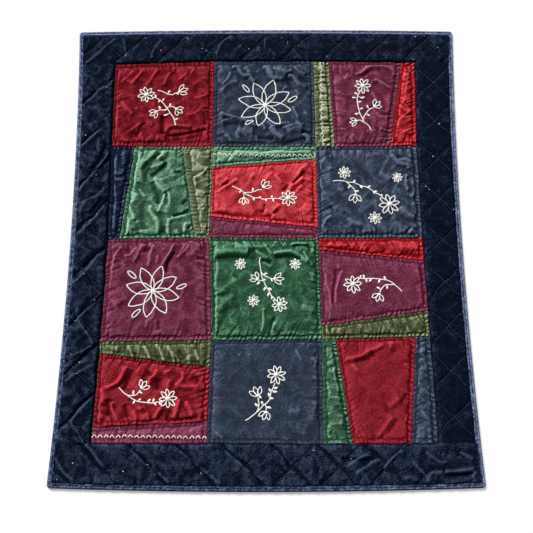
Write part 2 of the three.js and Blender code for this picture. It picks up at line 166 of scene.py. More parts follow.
# The main creases of each block: height (a trough's is negative), width, and then x and y of
# each point that the crease passes through.
CREASES = {
    (0, 0): [
        (1.8, 3, -486, 612, -493, 585, -494, 567), (1.8, 3, -490, 480, -487, 425, -491, 397),
        (1.6, 3, -488, 565, -466, 582, -441, 612), (1.4, 2.5, -478, 605, -462, 612),
        (2.4, 3.5, -448, 555, -438, 575, -423, 595, -408, 615),
        (2, 3.5, -398, 550, -386, 572, -373, 597, -361, 615), (2, 3.5, -343, 550, -333, 575, -318, 607),
        (-2, 2.5, -315, 602, -300, 602), (1.4, 2.5, -296, 597, -291, 617),
        (1.8, 3, -291, 572, -276, 587, -261, 607), (1.8, 3, -253, 597, -236, 620),
        (2.2, 3.5, -478, 500, -468, 480, -453, 462, -436, 445), (1.4, 2.5, -433, 475, -421, 460),
        (1.2, 4, -373, 495, -366, 475), (1.2, 4, -381, 425, -373, 400),
        (-3.4, 8, -339, 447, -340, 415, -338, 372), (1.6, 3, -456, 380, -431, 400, -408, 415),
        (-2, 3, -421, 385, -406, 410, -391, 420), (2.2, 3, -413, 387, -401, 355, -403, 330),
        (1.8, 3, -396, 342, -368, 377), (1.4, 2.5, -353, 370, -351, 350),
        (1.4, 2.5, -313, 367, -303, 347), (2.6, 4, -331, 380, -316, 400, -293, 405, -241, 402),
        (-2.8, 4, -331, 372, -291, 373, -254, 380, -216, 388, -190, 395),
        (-2.4, 9, -335, 358, -290, 356, -250, 365, -200, 378),
        (-2.2, 6, -432, 372, -412, 384, -402, 396), (-1.8, 3, -211, 465, -186, 475),
        (1.8, 3, -266, 445, -238, 450, -216, 465), (1.8, 3, -241, 510, -213, 512, -193, 522),
        (-1.6, 9, -205, 462, -198, 405),
    ],
    (0, 1): [
        (3.6, 4.3, -116, 622, -100, 621, -90, 612, -80, 597, -68, 588, -52, 588, -44, 574, -33, 560),
        (2, 4, -76, 624, -60, 612, -52, 596), (2.6, 3.1, -118, 607, -122, 592, -130, 575, -150, 558),
        (1.8, 6.5, -150, 528, -135, 548, -112, 563, -90, 566), (1.8, 2.8, -158, 600, -144, 617),
        (3, 4.6, -14, 622, 2, 618, 12, 604, 20, 588, 27, 578, 45, 579, 57, 573),
        (2.6, 4.2, 20, 618, 45, 612, 72, 603, 92, 612), (1.4, 2.6, -33, 598, -21, 617),
        (3, 3, 96, 627, 105, 613, 118, 603, 138, 595),
        (4, 3.3, 72, 592, 87, 590, 97, 578, 108, 562, 122, 553, 138, 544),
        (-2, 4.2, 106, 588, 124, 577, 148, 563), (-2, 5.5, 62, 585, 76, 578, 86, 562),
        (1.6, 2.6, 52, 528, 62, 542, 73, 553), (1.6, 3, 98, 540, 105, 526, 114, 512),
        (4, 3.3, -152, 457, -139, 446, -119, 441, -99, 436, -79, 428, -60, 419, -40, 410, -26, 402),
        (-1.8, 4.2, -146, 436, -128, 437, -112, 433), (2, 2.9, -150, 422, -132, 427, -118, 437),
        (2.6, 3.2, -14, 414, -5, 398, 2, 387), (2.4, 3.1, 2, 424, 12, 412, 17, 400),
        (4.2, 4.6, 10, 404, 24, 390, 33, 376, 46, 367, 60, 357),
        (2.2, 3.1, 16, 400, 36, 408, 62, 415, 84, 418), (2.4, 3, 94, 419, 110, 411, 130, 410),
        (2.2, 3.2, 88, 477, 98, 455, 108, 428), (2, 3, 124, 458, 137, 442),
        (2.4, 3.4, 52, 396, 74, 404, 96, 412), (3.4, 4.2, 120, 380, 134, 366, 147, 352, 150, 336),
        (-4.6, 3.6, 112, 384, 130, 383, 158, 379),
        (-5, 5, 44, 334, 66, 342, 84, 349, 110, 355, 134, 363), (-4.2, 4.6, -52, 337, -24, 340, 6, 346),
        (-2.6, 6.5, -30, 361, 0, 362, 30, 361), (-2.6, 3.4, -158, 349, -144, 354),
        (2.6, 3.6, -134, 377, -118, 359, -110, 342), (1.8, 3.4, -96, 386, -92, 366, -80, 360),
        (2.2, 12, 0, 604, 40, 600, 76, 598), (2.2, 12, -98, 392, -66, 384, -38, 380),
        (-2.4, 8, -142, 408, -108, 414, -64, 404), (2.2, 11, 66, 384, 96, 394, 124, 402),
        (-2.2, 8, 72, 580, 80, 556, 88, 530),
    ],
    (0, 2): [
        (2.8, 4, 298, 596, 320, 600, 340, 617, 362, 626, 388, 628, 412, 620, 432, 605, 440, 590),
        (-1.6, 5, 318, 588, 350, 606, 390, 612),
        (2.2, 3.5, 362, 575, 380, 567, 400, 555, 418, 542, 430, 535), (1.6, 2.5, 422, 600, 437, 587),
        (1.6, 3, 400, 515, 422, 507), (1.6, 3, 350, 530, 362, 510, 370, 495),
        (1.8, 3, 360, 452, 375, 440, 407, 430), (1.4, 2.5, 375, 465, 410, 450),
        (2.2, 3, 370, 395, 400, 389, 415, 385), (-2.2, 3, 372, 387, 400, 381, 415, 377),
        (1.4, 3, 325, 387, 367, 390), (1.4, 3, 240, 395, 270, 395),
        (1.4, 3, 290, 380, 280, 362, 287, 340), (1.6, 3, 262, 575, 280, 602),
        (1.6, 3, 245, 620, 255, 592), (1.4, 3, 235, 520, 250, 535),
        (2.2, 3, 422, 415, 440, 430, 465, 450, 485, 467, 497, 480),
        (1.8, 3, 430, 418, 450, 435, 492, 442), (1.6, 3, 472, 567, 462, 520),
        (1.6, 3, 450, 585, 485, 590), (1.6, 3, 447, 485, 467, 505),
        (2, 3, 445, 380, 480, 397, 495, 397), (-2.2, 3, 450, 372, 495, 375),
    ],
    (1, 0): [
        (1.4, 3, -486, 300, -488, 250, -486, 180, -480, 150, -483, 60, -485, 15),
        (1.2, 2.5, -459, 313, -470, 300), (1.4, 3, -450, 198, -453, 150, -459, 110, -463, 20),
        (2.2, 3.2, -383, 319, -400, 314, -410, 293, -414, 263, -419, 225, -422, 190),
        (1.6, 14, -398, 290, -408, 200), (2.8, 5, -358, 322, -368, 300, -396, 272, -412, 250),
        (-3, 3.4, -336, 310, -352, 298, -364, 288), (-1.4, 9, -368, 276, -384, 236, -388, 200),
        (3, 5, -324, 318, -334, 298, -354, 284), (2.4, 4.6, -328, 277, -344, 264, -362, 262, -368, 250),
        (-4.4, 3.8, -318, 277, -337, 256, -357, 236, -372, 228),
        (2, 12, -336, 224, -330, 196, -314, 172), (2.6, 3, -356, 226, -351, 206, -336, 186, -323, 170),
        (3.4, 3.2, -322, 170, -327, 148, -334, 126, -343, 100),
        (-2.6, 8, -366, 212, -356, 186, -344, 160, -342, 126), (1.6, 10, -312, 130, -320, 96),
        (2.8, 5.2, -352, 88, -342, 66, -339, 42, -344, 18),
        (2.2, 3, -316, 178, -309, 160, -306, 140, -311, 122), (-2.8, 2.8, -318, 168, -317, 150),
        (2.2, 4, -366, 128, -368, 108, -356, 92, -346, 80), (-1.8, 12, -388, 146, -392, 90, -386, 40),
        (-1.6, 8, -318, 60, -322, 24), (2, 2.6, -410, 186, -396, 170, -380, 152),
        (1.6, 6, -406, 168, -428, 130), (2.4, 3.5, -442, 132, -429, 110, -419, 88, -414, 73),
        (1.4, 2.6, -414, 72, -396, 69), (2.4, 3, -434, 76, -434, 50, -441, 20),
        (-1.4, 10, -418, 52, -418, 24), (2.8, 4.2, -303, 84, -309, 56, -306, 18),
        (2, 3, -304, 81, -282, 85, -247, 95), (-3.4, 3, -298, 90, -272, 97, -243, 109),
        (1.6, 4, -283, 50, -279, 18), (2.6, 3.6, -251, 70, -257, 46, -256, 20),
        (-3, 3.2, -236, 64, -248, 42), (1.2, 5, -274, 203, -252, 200),
        (-2.2, 3.2, -299, 241, -262, 240), (1.2, 4, -306, 223, -286, 236),
        (-3, 3.5, -270, 128, -249, 150), (-2.6, 3, -264, 99, -241, 115),
        (1.6, 2.5, -236, 304, -237, 263), (1.8, 3, -209, 314, -219, 298, -222, 281),
        (2.8, 3, -188, 256, -202, 238, -217, 228, -229, 223, -229, 208, -226, 186),
        (-1.8, 3, -186, 246, -203, 229), (1.8, 3, -226, 175, -209, 173, -188, 167),
        (1.6, 2.5, -212, 125, -218, 107), (-1.6, 3, -206, 113, -219, 101),
        (1.8, 2.5, -186, 62, -201, 49), (1.6, 2.5, -190, 120, -206, 108),
        (1.6, 2.5, -192, 40, -214, 36),
    ],
    (1, 1): [
        (1.6, 4.5, -102, 307, -15, 305, 72, 311, 158, 315), (1.8, 3.5, -150, 292, -160, 275, -173, 256),
        (1.8, 3.5, -100, 295, -122, 281), (1.4, 4, -135, 265, -90, 272, -40, 270, 35, 276, 110, 280),
        (2.3, 3, -150, 242, -161, 226, -162, 208), (1.6, 4, -118, 222, -140, 203, -152, 188),
        (2.5, 3.5, -86, 219, -107, 205, -122, 195, -140, 183, -156, 167),
        (-1.9, 3.8, -118, 209, -144, 194), (1.6, 3.5, -40, 244, -42, 230, -52, 216),
        (1.6, 3.5, 20, 246, 15, 235, 5, 220, -3, 206), (1.6, 3, 29, 232, 40, 218, 53, 198),
        (3, 3.5, 132, 261, 115, 250, 110, 238, 101, 222),
        (-3.8, 3.2, 127, 247, 112, 226, 97, 212, 84, 197),
        (2.8, 4, 124, 225, 107, 208, 85, 193, 76, 173), (1.8, 3.5, 123, 196, 107, 183, 91, 167),
        (-2.4, 4.2, 77, 197, 62, 183, 49, 177), (1.8, 3, 123, 222, 132, 214, 142, 221),
        (-2.6, 3.8, -4, 134, -7, 113, -16, 97), (-1.7, 9.2, -38, 103, -5, 104),
        (2.3, 4, 51, 129, 32, 113, 24, 101), (-2.6, 3.2, 39, 116, 21, 92), (2.1, 3.5, 31, 99, 19, 82),
        (-3.1, 4.2, -166, 104, -140, 98, -77, 90, -40, 88, 24, 92), (1.8, 3.5, -164, 132, -150, 116),
        (1.6, 3.5, -148, 118, -124, 104), (1.4, 10.5, 112, 125, 140, 100),
        (0.9, 3.5, -162, 55, -140, 68, -126, 65), (0.9, 3.5, -63, 59, -51, 48),
        (0.9, 3.5, 16, 56, -6, 46), (0.9, 3.5, 60, 44, 150, 38),
    ],
    (1, 2): [
        (2.9, 4.3, 406, 305, 417, 288, 429, 273, 442, 266, 457, 263, 465, 249),
        (2.4, 3.3, 426, 286, 452, 284, 476, 275), (-2.4, 3.9, 422, 296, 448, 291),
        (2.2, 3.3, 463, 305, 476, 287), (2.4, 3.8, 456, 235, 452, 213, 449, 195, 457, 171),
        (-2.2, 2.9, 459, 230, 453, 208), (2.2, 3.8, 464, 199, 477, 195, 472, 163, 459, 152),
        (1.7, 8.8, 362, 238, 385, 226, 403, 212), (2.2, 7.8, 425, 122, 442, 103, 462, 88, 476, 82),
        (1.2, 5.8, 402, 93, 414, 73), (-2.9, 2.9, 458, 55, 437, 27), (1.9, 3.3, 466, 52, 448, 26),
        (1.7, 4.8, 259, 84, 277, 66, 295, 61, 314, 60), (1.7, 4.8, 301, 40, 322, 38, 349, 40),
        (2.6, 3.3, 209, 93, 192, 76, 180, 58, 179, 36), (-2.2, 3.9, 201, 127, 218, 104),
        (1.7, 3.3, 193, 100, 211, 102), (1.9, 3.3, 179, 34, 198, 49), (1.2, 4.8, 224, 181, 253, 178),
        (1.9, 3.3, 178, 266, 193, 294), (1.4, 3.8, 200, 245, 214, 262), (1.7, 3.8, 463, 120, 478, 138),
    ],
    (2, 0): [
        (
            2, 3, -451, -9, -464, -28, -473, -48, -478, -78, -485, -108, -487, -153, -486, -203,
            -486, -255,
        ),
        (1.8, 2.5, -495, -18, -459, -9), (2.6, 3, -405, -11, -417, -28, -429, -41, -443, -39),
        (-2.4, 5, -441, -27, -421, -23), (2, 4, -371, -8, -389, -11, -399, -28, -407, -53, -413, -68),
        (-2.4, 5, -388, -28, -372, -25, -356, -12),
        (2.2, 3.5, -344, -5, -357, -20, -362, -53, -368, -80), (1.4, 3, -338, -38, -341, -72),
        (3.4, 3, -286, 1, -294, -15, -304, -38, -314, -58, -324, -77),
        (-3.2, 4, -286, -26, -294, -45, -306, -66, -310, -103),
        (2.2, 3, -251, -2, -264, -20, -273, -34), (1.8, 3.5, -238, -2, -252, -23, -280, -52),
        (1.4, 3, -318, -12, -326, -28), (1.4, 8, -203, 0, -225, -33, -252, -44),
        (-2, 4, -219, -50, -183, -53), (1.4, 3, -223, -59, -180, -61), (1.2, 5, -455, -63, -436, -79),
        (1.2, 6, -424, -175, -447, -190, -476, -198), (1, 6, -470, -202, -448, -210),
        (1.4, 3.5, -342, -206, -345, -240, -364, -253, -364, -276), (-1.4, 4, -327, -251, -324, -285),
        (1.2, 2.5, -254, -147, -260, -168, -268, -187), (1.6, 2.5, -471, -259, -484, -273, -484, -300),
    ],
    (2, 1): [
        (3.6, 7, -163, -35, -138, -32, -110, -29, -88, -29, -50, -31),
        (-1.6, 8, -163, -50, -110, -48, -60, -50, -25, -52), (2.4, 6, -100, -13, -40, -14, 10, -12),
        (2.8, 3, -35, -24, -18, -35, -3, -45, 11, -54), (2, 3, 1, -16, 12, -28, 26, -39),
        (3.2, 4, 22, -37, 50, -32, 80, -31, 100, -40, 117, -53, 135, -66),
        (-3, 6, 24, -47, 87, -44, 113, -56), (-2.4, 5, -15, -55, 21, -66),
        (1.8, 3, -12, -60, 7, -72, 23, -78), (2.2, 2.5, 73, -4, 133, -3),
        (-2.8, 3.5, 81, -10, 130, -9, 138, -34), (2.2, 3, 116, -24, 125, -43, 135, -60, 153, -75),
        (1.8, 2.5, 138, -14, 150, -26, 160, -34), (1.6, 2.5, 51, -15, 59, -3, 68, -16),
        (1.6, 2.5, -112, -5, -87, -3), (1.8, 2.5, -64, -16, -44, -4), (1.6, 2.5, 18, -14, 28, -3),
        (1.8, 2.5, -136, -22, -127, -4), (1.8, 2.5, -161, -18, -150, -3),
        (1.6, 3, -157, -23, -151, -80, -155, -128, -151, -165, -152, -228, -149, -292),
        (1.2, 7, -88, -118, -106, -131, -128, -148, -149, -161),
        (1.2, 7, -92, -170, -113, -183, -131, -198, -144, -227),
        (-1.2, 7, -76, -205, -113, -211, -138, -236), (-1, 8, -105, -150, -140, -178),
        (2, 2.5, -7, -208, -8, -240, -7, -260, -14, -288), (-2.2, 4, 27, -234, 12, -278, 6, -298),
        (1.8, 4, 35, -254, 20, -273, 11, -295), (1.2, 6, 106, -205, 134, -215, 148, -224),
        (1.2, 3, 144, -88, 144, -130),
    ],
    (2, 2): [
        (1.6, 2.5, 183, 0, 183, -15, 178, -30), (1.6, 3.5, 192, -5, 221, -10, 260, -9),
        (1.2, 4, 268, 0, 281, -16), (2, 2.5, 314, -9, 306, -25, 298, -42),
        (-1.8, 2.5, 257, -25, 278, -25, 298, -31), (-2, 4, 377, -19, 363, -37),
        (1.6, 7, 415, -17, 451, -15, 480, -20), (-2.4, 4, 416, -36, 482, -44),
        (1.4, 3, 222, -68, 228, -90), (1.8, 2.5, 239, -88, 228, -108, 222, -133, 216, -158, 212, -200),
        (-2, 3, 216, -86, 214, -120, 207, -178, 207, -202),
        (1.4, 2.5, 185, -98, 188, -135, 198, -163, 198, -195, 200, -220),
        (1.2, 2.5, 186, -209, 196, -225, 196, -250), (1, 2.5, 315, -174, 329, -204),
        (1, 4, 466, -84, 478, -118, 478, -205), (2, 2.5, 183, -266, 189, -296),
        (2, 2.5, 204, -271, 198, -300), (1.6, 2.5, 428, -264, 436, -293),
        (1.6, 2.5, 301, -278, 315, -296), (1.4, 2.5, 222, -270, 228, -288),
    ],
    (3, 0): [
        (3.6, 2.8, -418, -322, -404, -350, -398, -372), (3.6, 2.8, -374, -322, -358, -345, -346, -374),
        (3.4, 2.8, -336, -322, -319, -346, -304, -380),
        (3.4, 2.8, -298, -322, -288, -343, -280, -365, -276, -388), (3, 2.6, -284, -346, -256, -382),
        (3, 2.8, -214, -338, -203, -368, -186, -384), (2.6, 2.8, -456, -322, -449, -350),
        (2.4, 2.8, -236, -356, -222, -384), (-1.8, 6, -322, -360, -330, -372),
        (-1.8, 6, -268, -340, -240, -372), (-2.2, 9, -398, -398, -412, -432, -424, -470),
        (-2, 9, -322, -424, -324, -468), (-2, 8, -470, -486, -464, -544),
        (-1.8, 9, -418, -500, -408, -548), (-1.8, 9, -226, -418, -196, -438),
        (-1.8, 8, -284, -520, -292, -552),
        (3.2, 3.9, -416, -389, -424, -410, -439, -435, -457, -448, -480, -461),
        (2.1, 3.4, -376, -392, -392, -417), (3.2, 3.4, -323, -399, -336, -420, -349, -433, -346, -450),
        (-2.2, 8.2, -345, -405, -375, -432), (2.1, 3.4, -283, -402, -310, -416),
        (1.8, 4.4, -284, -427, -291, -448, -291, -462),
        (3.4, 3.4, -246, -404, -249, -428, -259, -440, -272, -451),
        (2.1, 4.4, -272, -451, -249, -453, -214, -453, -200, -459),
        (2.5, 6.4, -497, -454, -486, -473, -481, -493, -496, -508, -491, -533, -481, -550),
        (3, 3.4, -456, -496, -456, -520, -444, -538, -434, -558, -431, -578, -431, -595),
        (2.3, 3.4, -395, -518, -386, -540, -384, -553, -388, -575), (1.8, 5.4, -369, -509, -375, -528),
        (3, 3.9, -307, -514, -319, -530, -332, -552), (1.6, 9.4, -352, -528, -350, -556),
        (3.2, 3.9, -255, -489, -259, -508, -266, -528, -272, -552),
        (2.8, 3.9, -239, -494, -229, -515, -219, -533, -218, -548), (2.1, 2.9, -196, -537, -199, -560),
        (1.6, 3.4, -175, -428, -178, -485, -181, -540), (-2.2, 4.2, -300, -548, -255, -552, -211, -544),
        (1.1, 2.9, -374, -581, -375, -598), (1.4, 3.4, -262, -574, -280, -592),
        (1.1, 3.4, -211, -572, -222, -594),
    ],
    (3, 1): [
        (1.2, 2.5, 89, -337, 98, -356, 106, -368, 111, -380),
        (1.6, 2.5, 135, -367, 151, -378, 143, -400), (-2, 2.5, 157, -380, 153, -393),
        (-1.4, 2.5, 151, -346, 145, -366), (1, 2.5, -73, -347, -88, -365),
        (1, 2.5, -44, -350, -55, -366), (1, 4, 138, -420, 159, -434), (1, 9, 66, -523, 104, -531),
        (1.2, 10, 149, -492, 139, -543, 116, -576, 110, -600),
        (1, 3, -150, -585, -134, -598, -126, -615),
    ],
    (3, 2): [
        (1.4, 2.5, 205, -391, 205, -413, 213, -448, 218, -475), (-1.6, 2.5, 211, -416, 218, -455),
        (-2, 3, 214, -522, 234, -539), (1.8, 2.5, 216, -514, 236, -530), (1.4, 3, 220, -546, 223, -575),
        (-1.6, 3, 196, -581, 184, -600), (1.4, 3, 190, -366, 206, -352),
        (2, 4, 238, -371, 258, -370, 280, -362, 298, -355, 313, -345, 335, -338, 357, -323),
        (-1.4, 6, 262, -378, 308, -368, 330, -350), (1.8, 7, 368, -331, 394, -323),
        (1.6, 3, 217, -337, 231, -325), (1.4, 3.5, 255, -385, 268, -400, 279, -412),
        (1.2, 7, 400, -487, 383, -498, 361, -517), (-1.4, 5, 422, -471, 408, -493, 396, -504),
        (1.2, 5, 377, -541, 358, -563, 343, -583, 324, -602), (-1, 5, 392, -544, 375, -568, 359, -590),
        (1.8, 2.5, 421, -529, 412, -560), (1.2, 3, 409, -391, 431, -385),
        (1.4, 3, 488, -433, 488, -525), (1.2, 3, 457, -516, 484, -557), (1.4, 3, 456, -345, 486, -352),
    ],
}

# The same for the borders.
BORDER_CREASES = {
    "left": [
        (2.4, 3.5, -507, 450, -530, 412, -552, 380, -577, 354, -600, 330),
        (2.6, 3.5, -510, 312, -525, 282, -555, 240, -580, 205, -597, 172),
        (-2.4, 5, -520, 345, -540, 288, -566, 246),
        (2, 3, -515, 190, -535, 162, -560, 150, -580, 135, -590, 95, -580, 68),
        (2.2, 3.5, -513, 132, -540, 90, -570, 50, -592, 28), (-2.2, 5, -522, 158, -545, 118, -562, 92),
        (2, 3, -515, -33, -535, -57, -562, -95, -586, -122, -610, -136),
        (2.2, 3, -503, -158, -530, -187, -555, -220, -578, -247),
        (2, 3, -577, -243, -550, -281, -530, -310, -518, -328),
        (1.8, 3, -523, -326, -555, -345, -592, -361),
        (1.6, 3.5, -510, -388, -545, -400, -575, -416, -602, -442),
        (2, 3, -518, -483, -545, -516, -582, -557), (1.8, 3, -580, -553, -550, -590, -530, -622),
        (1.6, 3, -510, 576, -545, 550, -577, 511, -612, 478), (1.6, 3, -545, 362, -546, 330, -538, 306),
    ],
    "head": [
        (2.2, 3.5, -506, 733, -535, 706, -561, 678, -609, 631),
        (1.6, 3, -484, 735, -477, 700, -468, 662), (1.4, 3, -352, 728, -378, 690, -386, 652),
        (1.2, 3, -430, 712, -450, 678), (1.4, 3, -169, 667, -150, 712, -125, 734, -108, 728),
        (1.4, 3, -108, 678, -94, 695, -78, 709), (1.6, 3, -4, 739, -3, 712, -4, 689),
        (1.4, 3, -28, 703, -22, 678), (1.2, 3, 11, 695, 36, 662),
    ],
    "right": [],
    "foot": [
        (1.8, 3, -526, -619, -495, -659, -462, -699, -427, -734),
        (1.8, 3, -397, -632, -370, -659, -343, -683, -304, -712, -276, -736),
        (1.8, 3, -252, -639, -211, -673, -172, -706, -130, -736),
        (1.6, 3, -120, -639, -79, -673, -46, -699, -5, -726), (1.4, 3, 25, -639, 53, -659, 80, -687),
        (1.6, 3, -615, -657, -587, -699, -552, -727), (1.4, 8, -500, -728, -380, -742),
        (2, 3, 236, -689, 262, -668, 301, -650), (-2.2, 4, 215, -662, 277, -667, 320, -662),
        (2, 3, 258, -705, 305, -677, 334, -662), (2.4, 3, 339, -696, 362, -668, 401, -636),
        (2, 3, 396, -724, 415, -715, 441, -727), (2, 3, 425, -672, 453, -701, 477, -729),
        (2, 3, 463, -643, 506, -672, 530, -670), (2.6, 3.5, 515, -701, 582, -696, 606, -686),
        (-2.4, 4, 512, -712, 584, -707, 600, -700), (2.2, 3, 463, -734, 477, -705, 515, -701),
        (2, 3, 563, -643, 606, -667), (1.8, 3, 592, -720, 611, -696),
    ],
}

BORDER_WEAR = {"left": -0.1, "head": -0.16, "right": -0.36, "foot": 0.04}  # how rubbed pale each is
BORDER_CRUMPLE = {"left": 1.1, "head": 0.55, "right": 0.5, "foot": 0.7}  # and how crumpled

# The borders' quilting: one line of each slanting set as y - x or y + x, the distance to the
# next along y, and how deep the set is drawn in.
QUILTING = {
    "left": {"rising": (1240, 151, 2.2), "falling": (-822, 159, 1.0)},
    "head": {"rising": (867, 137.5, 0.8), "falling": (792, 155.6, 0.8)},
    "right": {"rising": (-551, 138.5, 0.55), "falling": (420, 138.5, 0.55)},
    "foot": {"rising": (-630, 138.5, 0.7), "falling": (-611, 138.5, 2.1)},
}
QUILT_DEPTH = 2.4  # what those depths are multiplied by
QUILT_SLOPE = 4.2  # reach of a quilted line to its left
QUILT_WALL = 2.4  # and to its right, where it is steeper
QUILT_PUFF = 2.6  # how the padding stands up between the lines
QUILT_CLEAR = 9  # how far from a border's edges its quilting ends
QUILT_LINES = range(-14, 15)  # lines of a set, counted from the given one

# The folded binding's section, as how far in from the edge and how high each point is.
BINDING_SECTION = [
    (12.85, 0.2), (12.85, 3.6), (15.2, 4.8), (15.7, 6.0), (14.6, 7.2), (12.4, 7.6), (10.2, 7.2),
    (8.5, 6.4), (6.8, 6.9), (4.4, 7.0), (2.2, 6.0), (0.7, 4.2), (0.0, 2.2), (0.4, 0.8), (1.2, 0.0),
    (6.0, 0.0), (12.0, 0.0),
]
BINDING_Z = 7.0  # height at which its puckers are at their fullest
BINDING_RIB = 6.6  # from one pucker to the next
# How much paler or darker each binding is painted at its edge, in its middle and on its inner roll: painted
# shade and painted light for how its rolls face the light.
BINDING_PAINTED_SHADING = {
    "left": (-0.4, -0.12, -0.4),
    "head": (-0.6, -0.05, 0.8),
    "right": (0.05, 0.2, -0.3),
    "foot": (-1.3, -0.07, -0.9),
}
# How much paler each is at its clockwise end, and darker at the other.
BINDING_FADE = {"left": 0.16, "head": 0.0, "right": -0.12, "foot": 0.0}

